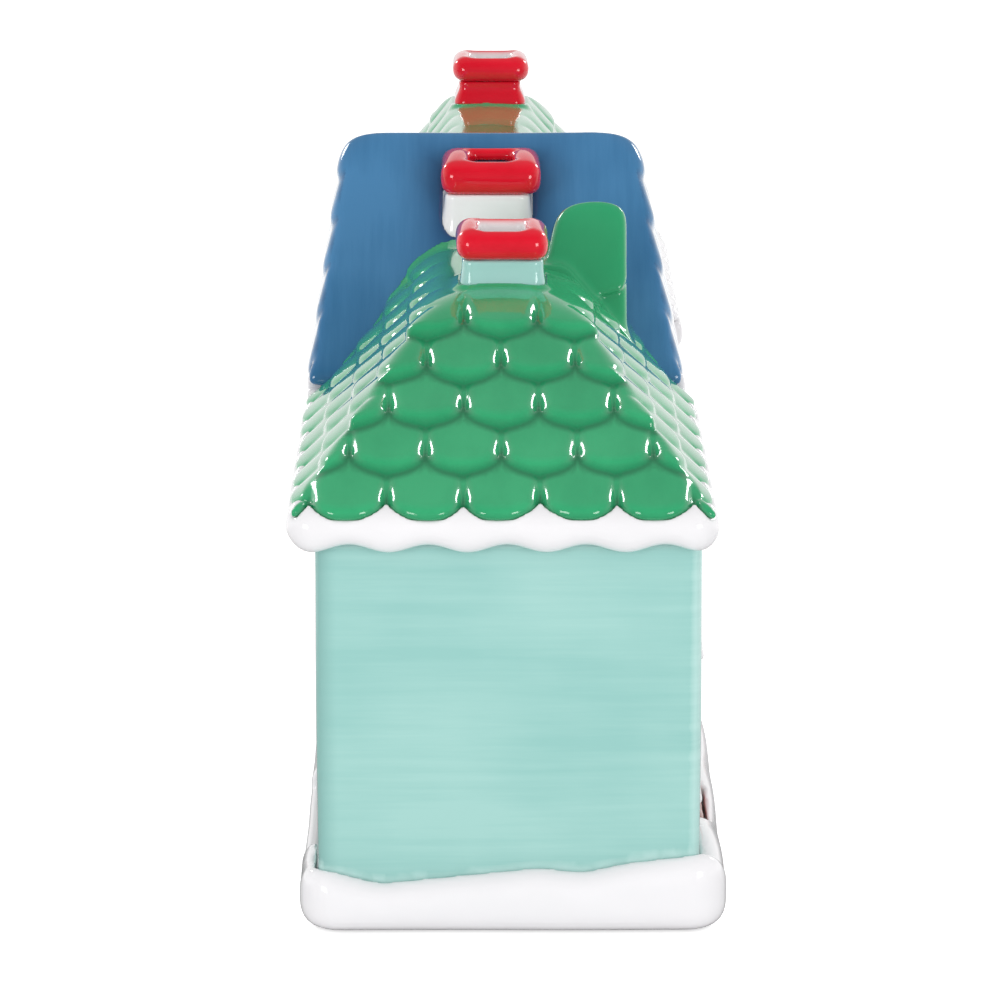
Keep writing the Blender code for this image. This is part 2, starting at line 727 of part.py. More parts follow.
# Dormer
def make_dormer(front):
    """A small gable on the teal house's front slope, standing above the ridge."""
    outline = [
        (DORMER_X - DORMER_HALF, DORMER_FOOT_Z),
        (DORMER_X + DORMER_HALF, DORMER_FOOT_Z),
        (DORMER_X, DORMER_TOP),
    ]
    bm = prism(outline, "Y", ROOF_SHIFT - DORMER_FRONT, ROOF_SHIFT - DORMER_BACK_LOW)
    back_low = Vector((0, ROOF_SHIFT - DORMER_BACK_LOW, NEAR_RIDGE_Z))
    back_top = Vector((0, ROOF_SHIFT - DORMER_BACK_TOP, DORMER_TOP))
    lean = back_top - back_low
    keep_side(bm, back_low, Vector((0, lean.z, -lean.y)))
    dormer = make_object("dormer_near", bm, "green")
    round_edges(dormer, DORMER_ROUND, 2)
    lift = front.normal * (TILE_LIFT + GAP)
    eave = front.origin + lift
    ridge = eave + front.up * front.length
    top = NEAR_RIDGE_Z + GAP
    edge = ridge + front.up * ((top - ridge.z) / front.up.z)
    under = [(eave.y, eave.z), (edge.y, edge.z), (0.05, top), (0.05, eave.z)]
    tools = [make_object("roof_cut", prism(under, "X", -0.1, 0.1))]
    tools.append(make_object("slope_cut", prism(middle_outline(2 * GAP), "Y", -0.1, 0.1)))
    combine(dormer, tools)
    centre = (DORMER_X - PANE_SHIFT, ROOF_SHIFT - DORMER_FRONT - GAP - PANE_HALF, PANE_Z)
    profile = (
        (0, -PANE_HALF), (PANE_RADIUS, -PANE_HALF), (PANE_RADIUS, PANE_HALF), (0, PANE_HALF),
    )
    pane = turned(profile, (0, 0), 20)
    stand_up(pane, centre)
    make_object("dormer_window_near", pane, "white")


# House fronts
def door_places():
    """The middle of each house's door, in x."""
    return {
        "near": HOUSE_CENTRE["near"],
        "middle": HOUSE_CENTRE["middle"],
        "rear": HOUSE_CENTRE["rear"] + REAR_DOOR_OFFSET,
    }


def window_places():
    """Each house's windows by name: the middle in x, and the height of the sill."""
    near = HOUSE_CENTRE["near"]
    rear = HOUSE_CENTRE["rear"]
    return {
        "near": {
            "lower_left": (near - WINDOW_SPREAD, LOWER_SILL),
            "lower_right": (near + WINDOW_SPREAD, LOWER_SILL),
            "upper_left": (near - WINDOW_SPREAD, UPPER_SILL),
            "upper_right": (near + WINDOW_SPREAD, UPPER_SILL),
        },
        "middle": {
            "lower_left": (-MIDDLE_SPREAD, LOWER_SILL),
            "lower_right": (MIDDLE_SPREAD, LOWER_SILL),
            "upper": (0.0, UPPER_SILL + 2 * MM),
        },
        "rear": {
            "lower": (rear - WINDOW_SPREAD / 2, LOWER_SILL),
            "upper_left": (rear - WINDOW_SPREAD, UPPER_SILL),
            "upper_middle": (rear, UPPER_SILL),
            "upper_right": (rear + WINDOW_SPREAD, UPPER_SILL),
        },
    }


def door_outline(centre, grow=0.0):
    """Outline in x, z of a door, grown on all sides."""
    bottom = STEP_TOP + GAP
    spring = bottom + DOOR_HEIGHT - DOOR_WIDTH / 2
    return arch_outline(centre, DOOR_WIDTH + 2 * grow, bottom - grow, spring, 10)


def make_door(house, centre):
    """A door with a sunk panel, the step in front of it and the wreath on it."""
    back = -WALL_HALF_DEPTH + DOOR_RECESS - GAP
    face = back - DOOR_THICKNESS
    outline = door_outline(centre)
    door = make_object("door_" + house, prism(outline, "Y", face, back), DOOR_COLOURS[house])
    inner = door_outline(centre, -DOOR_BORDER)
    panel = prism(inner, "Y", face - PANEL_DEPTH, face + PANEL_DEPTH)
    combine(door, [make_object("panel", panel)])
    low = (centre - STEP_WIDTH / 2, -WALL_HALF_DEPTH - STEP_DEPTH, STEP_BOTTOM)
    high = (centre + STEP_WIDTH / 2, -WALL_HALF_DEPTH - GAP, STEP_TOP)
    make_object("door_step_" + house, box(low, high), "brick")
    profile = []
    for i in range(WREATH_SIDES):
        angle = 2 * math.pi * i / WREATH_SIDES
        radius = WREATH_RADIUS + WREATH_TUBE * math.cos(angle)
        profile.append((radius, WREATH_TUBE * math.sin(angle)))
    wreath = turned(profile, (0, 0), 16)
    hang_z = STEP_TOP + DOOR_HEIGHT - DOOR_WIDTH / 2
    stand_up(wreath, (centre, face + PANEL_DEPTH - WREATH_TUBE - GAP, hang_z))
    make_object("wreath_" + house, wreath, "green", 60)


def make_window_frame(name, centre, sill):
    """A frame set into the wall, its lower rail thicker as a sill."""
    back = -WALL_HALF_DEPTH + FRAME_RECESS - GAP
    half = WINDOW_WIDTH / 2 + FRAME_BORDER
    low = (centre - half, back - FRAME_THICKNESS, sill - FRAME_BORDER)
    high = (centre + half, back, sill + WINDOW_HEIGHT + FRAME_BORDER)
    frame = make_object(name, box(low, high), "white")
    ledge_low = (low[0], back - SILL_DEPTH, low[2])
    ledge_high = (high[0], back, sill - 0.2 * MM)
    combine(frame, [make_object("ledge", box(ledge_low, ledge_high))], "UNION")
    light_low = (centre - WINDOW_WIDTH / 2, back - 5 * MM, sill)
    light_high = (centre + WINDOW_WIDTH / 2, back + 5 * MM, sill + WINDOW_HEIGHT)
    combine(frame, [make_object("light", box(light_low, light_high))])


# Tealights
def make_tealight(house, centre_x):
    """A tealight: aluminium cup, wax, the tab that holds the wick, and the wick."""
    holder = bpy.data.objects.new("tealight_" + house, None)
    holder.location = (centre_x, 0.0, FLOOR_Z + GAP)
    bpy.context.scene.collection.objects.link(holder)
    inner = CUP_RADIUS - CUP_WALL
    cup = (
        (0, 0), (CUP_RADIUS, 0), (CUP_RADIUS, CUP_HEIGHT - 0.6 * MM),
        (CUP_RADIUS + 0.5 * MM, CUP_HEIGHT), (inner, CUP_HEIGHT), (inner, CUP_WALL), (0, CUP_WALL),
    )
    wax_low = CUP_WALL + GAP
    pocket = wax_low + TAB_THICKNESS + GAP
    neck_outer = WICK_RADIUS + GAP + NECK_WALL
    neck_top = wax_low + TAB_NECK_HEIGHT
    wax = (
        (TAB_RADIUS + GAP, wax_low), (inner - GAP, wax_low), (inner - GAP, WAX_HEIGHT),
        (WICK_RADIUS + GAP, WAX_HEIGHT - 0.6 * MM), (WICK_RADIUS + GAP, neck_top + GAP),
        (neck_outer + GAP, neck_top + GAP), (neck_outer + GAP, pocket), (TAB_RADIUS + GAP, pocket),
    )
    tab = (
        (WICK_RADIUS + GAP, wax_low), (TAB_RADIUS, wax_low), (TAB_RADIUS, wax_low + TAB_THICKNESS),
        (neck_outer, wax_low + TAB_THICKNESS), (neck_outer, neck_top), (WICK_RADIUS + GAP, neck_top),
    )
    wick_top = WAX_HEIGHT + WICK_RISE
    wick = ((0, wax_low), (WICK_RADIUS, wax_low), (WICK_RADIUS, wick_top), (0, wick_top))
    pieces = (
        ("tealight_cup_", cup, "aluminium", 32), ("tealight_wax_", wax, "wax", 24),
        ("wick_tab_", tab, "tin", 16), ("wick_", wick, "wick", 10),
    )
    for prefix, profile, colour_name, steps in pieces:
        item = make_object(prefix + house, turned(profile, (0, 0), steps), colour_name, 40)
        item.parent = holder


# The whole object
def build():
    clear_scene()
    make_base()
    inner = PARTY_X - GAP
    make_walls("near", -END_WALL_X, -PARTY_X, END_WALL_TOP, "teal")
    make_walls("middle", -inner, inner, MIDDLE_WALL_TOP, "white")
    make_walls("rear", PARTY_X, END_WALL_X, END_WALL_TOP, "red")
    floor_z = make_eaves(
        "near", -END_WALL_X, -PARTY_X, END_WALL_TOP, EAVE_THICKNESS, free_low=True
    )
    middle_floor_z = make_eaves("middle", -inner, inner, MIDDLE_WALL_TOP, MIDDLE_EAVE_THICKNESS)
    make_eaves("rear", PARTY_X, END_WALL_X, END_WALL_TOP, EAVE_THICKNESS, free_high=True)
    near_ridge = (NEAR_RIDGE_Z, NEAR_RIDGE_HALF, ROOF_SHIFT)
    rear_ridge = (REAR_RIDGE_Z, REAR_RIDGE_HALF, HIGH_RIDGE_SHIFT)
    front = make_end_roof("near", -1, near_ridge, NEAR_COURSES, floor_z)
    make_middle_roof(middle_floor_z)
    make_end_roof("rear", 1, rear_ridge, REAR_COURSES, floor_z)
    for house in CHIMNEYS:
        make_chimney(house)
    make_dormer(front)
    for house, centre in door_places().items():
        make_door(house, centre)
    for house, windows in window_places().items():
        for place, (centre, sill) in windows.items():
            make_window_frame(f"window_frame_{house}_{place}", centre, sill)
    for house, centre in HOUSE_CENTRE.items():
        make_tealight(house, centre)


build()
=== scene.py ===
"""Christmas village tealight holder: the look of the glazed ceramic row and its tealights.

The ceramic pieces are worked out as distance fields in millimetres, in the row's own frame, and
turned into meshes. A field is negative inside its piece.
"""
import math

import bmesh
import bpy
import numpy as np
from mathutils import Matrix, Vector


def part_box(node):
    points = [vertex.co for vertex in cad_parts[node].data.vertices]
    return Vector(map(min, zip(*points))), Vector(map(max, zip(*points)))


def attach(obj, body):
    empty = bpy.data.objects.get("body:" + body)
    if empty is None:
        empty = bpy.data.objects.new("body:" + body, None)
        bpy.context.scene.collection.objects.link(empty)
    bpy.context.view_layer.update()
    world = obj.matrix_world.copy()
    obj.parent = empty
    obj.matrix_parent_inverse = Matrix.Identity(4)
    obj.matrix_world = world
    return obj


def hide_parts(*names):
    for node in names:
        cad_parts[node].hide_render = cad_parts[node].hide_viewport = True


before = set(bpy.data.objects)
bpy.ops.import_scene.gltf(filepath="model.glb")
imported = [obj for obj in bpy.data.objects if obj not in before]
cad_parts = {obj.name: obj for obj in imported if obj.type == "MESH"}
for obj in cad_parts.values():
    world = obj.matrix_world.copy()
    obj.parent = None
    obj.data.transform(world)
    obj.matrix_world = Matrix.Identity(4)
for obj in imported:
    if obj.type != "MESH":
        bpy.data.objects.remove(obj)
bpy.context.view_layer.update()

MM = 0.001
DRAFT = 1.0

# Base, walls and eaves
BASE_HALF_LENGTH = 129.5
BASE_FRONT = -40.75
BASE_BACK = 39.0
BASE_CORNER = 7.5
BASE_ROUND = 5.2
FLOOR_Z = 6.0
BANK_HEIGHT = 11.5
BANK_WAVE = 0.66
END_BANK = (
    (-33.7, 15.1), (-21.5, 13.6), (-14.0, 11.8), (-5.5, 12.7), (10.5, 11.1), (24.0, 9.7), (35.5, 12.8),
)
WALL_HALF_DEPTH = 35.5
WALL_THICKNESS = 4.0
WALL_CORNER = 2.5
END_WALL_X = 125.0
PARTY_X = 38.9
GAP = 0.3
WALL_TOP = {"near": 74.2, "middle": 80.0, "rear": 74.2}
WALL_SPAN = {"near": (-125.0, -38.9), "middle": (-38.6, 38.6), "rear": (38.9, 125.0)}
HOUSE_CENTRE = {"near": -81.95, "middle": 0.0, "rear": 81.95}
EAVE_END = 130.3
EAVE_FRONT = -38.6
EAVE_BACK = 40.9
SNOW_RISE = 0.9
HEM_DROP = 0.85
HEM_WAVE = 0.75
HEM_LENGTH = 14.4
HEM_PHASE = 7.5

# Roofs
ROOF_Z = {"near": 79.5, "middle": 82.7, "rear": 79.5}
RIDGE_Z = {"near": 109.0, "middle": 128.2, "rear": 125.4}
RIDGE_HALF = {"near": 11.6, "middle": 28.8, "rear": 7.3}
RIDGE_Y = {"near": 1.0, "middle": 3.2, "rear": 3.2}
EAVE_Y = {"near": 1.3, "middle": 2.2, "rear": 1.0}
EAVE_HALF = {"near": 38.8, "middle": 37.2, "rear": 38.5}
COURSES = {"near": 5, "middle": 5, "rear": 6}
HIP_RUN = 64.9
MIDDLE_PITCH = math.radians(48)
SHELL = 4.0
TILE_SINK = 0.15
TILE_REACH = 1.25
TOP_COURSE_EXTRA = 0.2
LIFT_GROWTH = 0.08
GROOVE_FADE = 6.0
CROWN_SPREAD = 110.0
BLUE_RISE = 0.75
# Tiles: width, depth of the scallop, lift, depth of the groove between two, width of the rounded
# nose, and how far the face is domed
HIP_TILE = (14.0, 6.3, 2.3, 2.1, 2.7, 0.25)
SIDE_TILE = (13.0, 4.2, 1.3, 0.3, 2.2, 0.5)
GABLE_TILE = (14.0, 4.5, 1.6, 0.5, 4.5, 0.06)
# How far the lower edges of the hand-pressed tiles stray up and down their slope
TILE_STRAY = 0.32
# Pits between two of the hip's tiles where their scallops meet: depth, half width, half length
PIT = (0.45, 0.8, 3.0)

# Chimneys: ends in x, centre and half width in y, and the heights of their parts
CHIMNEYS = {
    "near": (-62.5, -50.0, 1.0, 8.0, 109.3, 113.9, 120.0),
    "middle": (-17.0, -3.2, 3.0, 9.2, 109.3, 118.1, 125.0),
    "rear": (48.6, 61.5, 3.0, 7.2, 125.7, 130.3, 135.8),
}
FLUE_HALF = (3.8, 4.2)
# Each stack's centre and half width in y
STACK_SIDES = {"near": (0.8, 7.9), "middle": (3.8, 8.5), "rear": (3.2, 7.1)}
# How far each stack spreads at its foot, and how far it is drawn in under its cap
STACK_FLARE = {"near": (0.4, 0.1), "middle": (1.0, 0.0), "rear": (0.6, 0.7)}
# How much each cap's top rises from the near side to the far side, per millimetre
CAP_TILT = {"near": 0.05, "middle": 0.09, "rear": 0.0}

# Dormer
DORMER_X = -34.5
DORMER_TOP = 120.9
DORMER_FOOT = 94.0
DORMER_HALF = 13.2
DORMER_FRONT = -23.8
DORMER_BACK = ((-7.8, 109.0), (-10.8, 120.9))
DORMER_TILE = (-16.8, 16.0, 102.8, 3.4)

# Fronts
DOOR_X = {"near": -81.95, "middle": 0.0, "rear": 101.95}
DOOR_BOTTOM = 10.8
DOOR_HALF = 7.5
DOOR_SPRING = 32.3
DOOR_FACE = -35.7
DOOR_BACK = -34.3
STEP_HALF = 9.5
WINDOW_HALF = 6.0
WINDOW_HEIGHT = 16.0
FRAME_FACE = -35.7
FRAME_BACK = -34.8
ARCH_HALF = 23.5
ARCH_SPRING = 31.0
PANEL_HALF = 5.5
STEP_FRONT = -37.9
WREATH_RADIUS = 3.75

# Tealights
CUP_RADIUS = 19.0
CUP_HEIGHT = 15.0
FLUTE_COUNT = 54
FLUTE_DEPTH = 0.09

# Spacing of each kind of piece's grid, and the share of its triangles that is kept
BASE_MESH = (0.62, 0.22)
WALL_MESH = (0.7, 0.18)
EAVES_MESH = (0.5, 0.35)
ROOF_MESH = {"near": (0.42, 0.5), "middle": (0.5, 0.35), "rear": (0.5, 0.3)}
CHIMNEY_MESH = (0.35, 0.4)
DOOR_MESH = (0.25, 0.4)
STEP_MESH = (0.3, 0.4)
FRAME_MESH = (0.3, 0.4)
WREATH_MESH = (0.2, 0.6)
PANE_MESH = (0.25, 1.0)

# Colours of the glazes
SNOW_LIGHT = (0.885, 0.87, 0.89)
SNOW_SHADE = (0.862, 0.85, 0.868)
GREEN_LIGHT = (0.043, 0.41, 0.178)
GREEN_DARK = (0.03, 0.34, 0.145)
# Colour of pooled glaze with painted shade under the green tiles' noses and in their cusps
GREEN_POOL_AND_SHADE = (0.015, 0.19, 0.08)
BLUE_LIGHT = (0.07, 0.225, 0.43)
BLUE_DARK = (0.042, 0.16, 0.325)
# Colour of pooled glaze with painted shade on the blue roof's tiles, and of the painted shade round its
# stack
BLUE_POOL_AND_SHADE = (0.02, 0.07, 0.17)
RED_LIGHT = (0.78, 0.011, 0.03)
RED_DARK = (0.68, 0.006, 0.02)


# Grids and fields
class Grid:
    """A block of evenly spaced points; x, y and z broadcast against each other."""

    def __init__(self, low, high, fineness):
        step, self.keep = fineness
        self.low = np.array(low, float)
        self.step = step * DRAFT
        counts = np.ceil((np.array(high) - self.low) / self.step).astype(int) + 1
        axes = [self.low[i] + self.step * np.arange(counts[i]) for i in range(3)]
        self.x = axes[0].astype(np.float32)[:, None, None]
        self.y = axes[1].astype(np.float32)[None, :, None]
        self.z = axes[2].astype(np.float32)[None, None, :]


class Points:
    """The points of a mesh, with the same names as a grid's."""

    def __init__(self, places):
        self.x, self.y, self.z = places.T


def join(a, b, soft):
    """Union of two fields, filleted over a distance."""
    blend = np.maximum(soft - np.abs(a - b), 0) / soft
    return np.minimum(a, b) - blend * blend * soft / 4


def meet(a, b, soft):
    """Intersection of two fields, with the edge rounded over a distance."""
    return -join(-a, -b, soft)


def carve(a, b, soft):
    """The first field with the second taken out of it."""
    return meet(a, -b, soft)


def slab(value, low, high):
    """Distance outside the range from low to high."""
    return np.maximum(low - value, value - high)


def rounded_plan(g, low, high, radius):
    """Distance in plan from a rectangle with round corners."""
    across = np.abs(g.x - (low[0] + high[0]) / 2) - (high[0] - low[0]) / 2 + radius
    along = np.abs(g.y - (low[1] + high[1]) / 2) - (high[1] - low[1]) / 2 + radius
    outside = np.sqrt(np.maximum(across, 0) ** 2 + np.maximum(along, 0) ** 2)
    return outside + np.minimum(np.maximum(across, along), 0) - radius


def rounded_box(g, low, high, radius):
    """Distance from a box with round edges."""
    parts = []
    for value, a, b in zip((g.x, g.y, g.z), low, high):
        parts.append(np.abs(value - (a + b) / 2) - (b - a) / 2 + radius)
    outside = np.sqrt(sum(np.maximum(p, 0) ** 2 for p in parts))
    inside = np.maximum(np.maximum(parts[0], parts[1]), parts[2])
    return outside + np.minimum(inside, 0) - radius


def arch(g, centre, half, bottom, spring):
    """Distance in x and z from an opening with a half-round head."""
    across = g.x - centre
    head = np.sqrt(across ** 2 + np.maximum(g.z - spring, 0) ** 2) - half
    return np.maximum(head, bottom - g.z)


def sway(g, length, phase=0.0):
    """A gentle hand-made unevenness between about -1 and 1."""
    k = 2 * math.pi / length
    first = np.sin(k * (g.x + 0.31 * g.y + 0.17 * g.z) + phase)
    second = np.sin(k * (0.77 * g.y - 0.22 * g.x + 0.35 * g.z) + 1.3 + phase)
    third = np.sin(k * (0.61 * g.z + 0.28 * g.x - 0.41 * g.y) + 2.6 + phase)
    return (first + second + third) / 3


def soften(field, times):
    """Averages a field with its neighbours, as glaze softens what it covers."""
    for _ in range(times):
        for axis in range(3):
            before = np.roll(field, 1, axis)
            after = np.roll(field, -1, axis)
            field = 0.5 * field + 0.25 * (before + after)
    return field


def surface(field, grid):
    """Points and quads of a field's zero surface: one point in each cell that it crosses."""
    field = np.pad(field, 1, constant_values=1.0)
    cell_shape = np.array(field.shape) - 1
    cells, places, quads = [], [], []
    for axis in range(3):
        u, v = (axis + 1) % 3, (axis + 2) % 3
        low = tuple(slice(0, -1) if i == axis else slice(1, -1) for i in range(3))
        high = tuple(slice(1, None) if i == axis else slice(1, -1) for i in range(3))
        a, b = field[low], field[high]
        crossed = (a < 0) != (b < 0)
        start = np.stack(np.nonzero(crossed), 1)
        start[:, u] += 1
        start[:, v] += 1
        a, b = a[crossed], b[crossed]
        point = start.astype(float)
        point[:, axis] += a / (a - b)
        corners = []
        for step_u, step_v in ((-1, -1), (0, -1), (0, 0), (-1, 0)):
            cell = start.copy()
            cell[:, u] += step_u
            cell[:, v] += step_v
            corners.append(np.ravel_multi_index(cell.T, cell_shape))
            places.append(point)
        cells += corners
        quad = np.stack(corners, 1)
        inward = b < 0
        quad[inward] = quad[inward][:, ::-1]
        quads.append(quad)
    used, index = np.unique(np.concatenate(cells), return_inverse=True)
    places = np.concatenate(places)
    count = np.bincount(index)
    points = np.stack([np.bincount(index, places[:, i]) / count for i in range(3)], 1)
    points = grid.low + (points - 1) * grid.step
    return points, np.searchsorted(used, np.concatenate(quads))


def mesh_of(name, points, faces):
    """A mesh in metres from points in millimetres and an array of quads."""
    mesh = bpy.data.meshes.new(name)
    mesh.vertices.add(len(points))
    mesh.vertices.foreach_set("co", (points * MM).astype(np.float32).ravel())
    mesh.loops.add(faces.size)
    mesh.loops.foreach_set("vertex_index", faces.astype(np.int32).ravel())
    mesh.polygons.add(len(faces))
    mesh.polygons.foreach_set("loop_start", np.arange(0, faces.size, 4, dtype=np.int32))
    mesh.update(calc_edges=True)
    return mesh


def paint(mesh, name, values):
    """Keeps one number for each point, for a material to read."""
    attribute = mesh.attributes.new(name, "FLOAT", "POINT")
    attribute.data.foreach_set("value", np.asarray(values, np.float32))


def apply_modifiers(item):
    bpy.context.view_layer.update()
    graph = bpy.context.evaluated_depsgraph_get()
    mesh = bpy.data.meshes.new_from_object(item.evaluated_get(graph))
    item.modifiers.clear()
    item.data = mesh


def add_piece(name, mesh, material, body, slot_name, *nodes):
    """Puts a finished mesh in the scene, on its body and in place of its solid."""
    item = bpy.data.objects.new(name, mesh)
    bpy.context.scene.collection.objects.link(item)
    mesh.materials.clear()
    mesh.materials.append(material)
    mesh.shade_smooth()
    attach(item, body)
    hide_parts(*nodes)
    return item


def ceramic(node, field, grid, material, slot_name, soft=1, marks=None):
    """A glazed piece from its field. marks are functions of the points that the glaze reads."""
    points, quads = surface(soften(field, soft), grid)
    mesh = mesh_of(node, points, quads)
    item = add_piece(node + "_glazed", mesh, material, "root", slot_name, node)
    if grid.keep < 1:
        thin = item.modifiers.new("thin", "DECIMATE")
        thin.ratio = grid.keep
        apply_modifiers(item)
        item.data.shade_smooth()
    for mark, rule in (marks or {}).items():
        places = np.zeros(len(item.data.vertices) * 3, np.float32)
        item.data.vertices.foreach_get("co", places)
        paint(item.data, mark, rule(Points(places.reshape(-1, 3) / MM)))
    return item


# Roof slopes and their tiles
class Slope:
    """A tiled roof plane: a point on its eave, the direction along it, and its highest point."""

    def __init__(self, eave, along, peak, courses, tile):
        self.eave = Vector(eave)
        self.along = Vector(along)
        rise = Vector(peak) - self.eave
        self.length = rise.length
        self.up = rise.normalized()
        self.normal = self.along.cross(self.up).normalized()
        if self.normal.z < 0:
            self.normal.negate()
        self.courses = courses
        self.width, self.depth, self.lift, self.groove, self.nose, self.dome = tile
        self.pitch = self.length / (courses + TOP_COURSE_EXTRA)

    def read(self, g, direction):
        offset = self.eave.dot(direction)
        return g.x * direction.x + g.y * direction.y + g.z * direction.z - offset

    def plane(self, g):
        return self.read(g, self.normal)

    def course(self, along, up, k):
        """Distance up from the lower edge of one course, and the place across its tiles."""
        across = along / self.width + (0.5 if k % 2 else 0.0)
        across = 2 * np.abs(across - np.round(across))
        edge = self.depth * (1 - np.sqrt(np.maximum(1 - across ** 2, 0)))
        stray = TILE_STRAY * (np.sin(along / 4.3 + 2.1 * k) + 0.6 * np.sin(along / 7.9 + 4.4 * k))
        return up - k * self.pitch - edge - stray, across

    def tiles(self, g):
        """Distance from the tiled surface, measured along the slope's normal."""
        along = self.read(g, self.along)
        up = self.read(g, self.up)
        height = np.full(np.broadcast(along, up).shape, -TILE_SINK, np.float32)
        for k in range(self.courses):
            above, across = self.course(along, up, k)
            run = up - k * self.pitch
            reach = self.pitch * TILE_REACH + self.depth
            if k == self.courses - 1:
                reach = self.length - k * self.pitch + 6
            fade = np.exp(-np.maximum(run - self.depth, 0) / GROOVE_FADE)
            lift = self.lift * (1 + LIFT_GROWTH * k)
            top = lift * (1 - run / reach) - self.groove * across ** 8 * fade
            top = top - self.dome * across ** 2
            part = np.clip(above / self.nose, 0, 1)
            nose = np.sqrt(1 - (1 - part) ** 2)
            height = -join(-height, TILE_SINK - top * nose + 2 * (above < 0), 0.5)
        return meet(self.plane(g) - height + self.pits(along, up), -self.edge(g, 0), 0.7)

    def pits(self, along, up):
        """How far the glazed surface dips at the cusps of the scallops."""
        if self.groove < 1:
            return 0.0
        depth, half_width, half_length = PIT
        dip = 0.0
        for k in range(self.courses):
            across = self.course(along, up, k)[1]
            aside = (1 - across) * self.width / 2 / half_width
            run = (up - k * self.pitch - self.depth - 1.2) / half_length
            uneven = 0.75 + 0.25 * np.sin(along / 5.1 + 2.6 * k)
            dip = np.maximum(dip, uneven * np.exp(-aside ** 2 - run ** 2))
        return depth * dip

    def edge(self, g, k):
        """Distance up from the lower edge of one course."""
        return self.course(self.read(g, self.along), self.read(g, self.up), k)[0]

    def pool(self, g):
        """How deep the glaze pools and how dark its painted shade is: most under a tile's nose and in a
        cusp, 0 on a crown.
        """
        along = self.read(g, self.along)
        up = self.read(g, self.up)
        depth = np.zeros(len(along))
        for k in range(self.courses):
            above, across = self.course(along, up, k)
            under = np.exp(-((above + 0.9) / 1.5) ** 2)
            cusp = np.exp(-(((1 - across) * self.width / 2) / 1.7) ** 2)
            cusp = cusp * np.exp(-((above + 0.5) / 3.0) ** 2)
            depth = np.maximum(depth, np.maximum(under * 0.85, cusp))
        return depth * min(self.groove, 1.0)


def slopes_of(house):
    """The tiled slopes of one house, the hip first where it has one."""
    low, high = ROOF_Z[house], RIDGE_Z[house]
    side = 1 if house == "rear" else -1
    slopes = []
    if house != "middle":
        eave = (side * BASE_HALF_LENGTH, EAVE_Y[house], low)
        peak = (side * (BASE_HALF_LENGTH - HIP_RUN), EAVE_Y[house], high)
        slopes.append(Slope(eave, (0, -1, 0), peak, COURSES[house], HIP_TILE))
    tile = GABLE_TILE if house == "middle" else SIDE_TILE
    centre = 0.0 if house == "middle" else side * BASE_HALF_LENGTH / 2
    for sign in (-1, 1):
        eave = (centre, EAVE_Y[house] + sign * EAVE_HALF[house], low)
        peak = (centre, RIDGE_Y[house] + sign * RIDGE_HALF[house], high)
        slopes.append(Slope(eave, (-sign, 0, 0), peak, COURSES[house], tile))
    return slopes


def blue_slopes(g):
    """Distance from the smooth slopes of the middle roof."""
    height = (g.z - RIDGE_Z["middle"]) * math.cos(MIDDLE_PITCH)
    return np.abs(g.x) * math.sin(MIDDLE_PITCH) + height


def middle_house(g):
    """Distance in x and z from the outline of the middle house."""
    return np.maximum(np.abs(g.x) - PARTY_X + GAP, blue_slopes(g))


def flue(g, house):
    low_x, high_x, centre_y, _, _, _, _ = CHIMNEYS[house]
    centre = (low_x + high_x) / 2
    low = (centre - FLUE_HALF[0], centre_y - FLUE_HALF[1])
    high = (centre + FLUE_HALF[0], centre_y + FLUE_HALF[1])
    return rounded_plan(g, low, high, 1.4)


def hollow_out(g, house, field, top):
    """A roof without its flue and its attic, which keeps a shell under the slopes and the top."""
    attic = top + SHELL
    for slope in slopes_of(house):
        attic = np.maximum(attic, slope.plane(g) + SHELL)
    side = 1 if house == "middle" else -1
    attic = np.maximum(attic, side * (np.abs(g.x) - PARTY_X) + WALL_THICKNESS)
    attic = np.maximum(attic, np.abs(g.y) - WALL_HALF_DEPTH + WALL_THICKNESS)
    return carve(carve(field, attic, 0.8), flue(g, house), 0.6)


def end_roof_field(g, house):
    slopes = slopes_of(house)
    field = slopes[0].tiles(g)
    for slope in slopes[1:]:
        field = meet(field, slope.tiles(g), 1.3)
    crown = (g.y - RIDGE_Y[house]) ** 2 / CROWN_SPREAD
    field = meet(field, g.z - RIDGE_Z[house] + crown, 1.5)
    stack = stack_body(g, house)
    field = join(field, stack, 2.6) - 0.1 * sway(g, 23)
    field = np.maximum(field, -np.maximum(stack, CHIMNEYS[house][4] - 0.6 - g.z))
    fillet_fade = 0.3 * np.maximum(100 - g.z, 0)
    field = join(field, blue_slopes(g) - GAP + fillet_fade, 3.5)
    field = meet(field, ROOF_Z[house] - g.z, 0.8)
    field = carve(field, middle_house(g) - GAP, 0.5)
    field = np.maximum(field, g.x if house == "near" else -g.x)
    return hollow_out(g, house, field, g.z - RIDGE_Z[house])


def middle_roof_field(g):
    height = (g.z - RIDGE_Z["middle"] - BLUE_RISE) * math.cos(MIDDLE_PITCH)
    left = g.x * math.sin(MIDDLE_PITCH) + height
    right = -g.x * math.sin(MIDDLE_PITCH) + height
    smooth = meet(left, right, 1.2)
    stack = stack_body(g, "middle")
    smooth = join(smooth, stack, 1.6) - 0.15 * sway(g, 31, 0.7)
    field = meet(*[slope.tiles(g) for slope in slopes_of("middle")], 1.0)
    field = meet(field, g.z - RIDGE_Z["middle"] - BLUE_RISE - 0.2, 7.0)
    field = meet(field, smooth, 2.5)
    field = np.maximum(field, -np.maximum(stack, 0.2 - blue_slopes(g)))
    field = meet(field, np.abs(g.x) - PARTY_X + GAP, 0.8)
    field = meet(field, ROOF_Z["middle"] - g.z, 0.8)
    return hollow_out(g, "middle", field, blue_slopes(g))


# Snow
def hem(g, house):
    """Height of the wavy lower edge of the snow roll."""
    bottom = WALL_TOP[house] + GAP
    if house == "middle":
        return bottom
    run = np.where(np.abs(g.x) > END_WALL_X - 1, g.y, g.x * 0.93)
    wave = np.cos(2 * math.pi * (run - HEM_PHASE) / HEM_LENGTH)
    return bottom - HEM_DROP - HEM_WAVE * wave


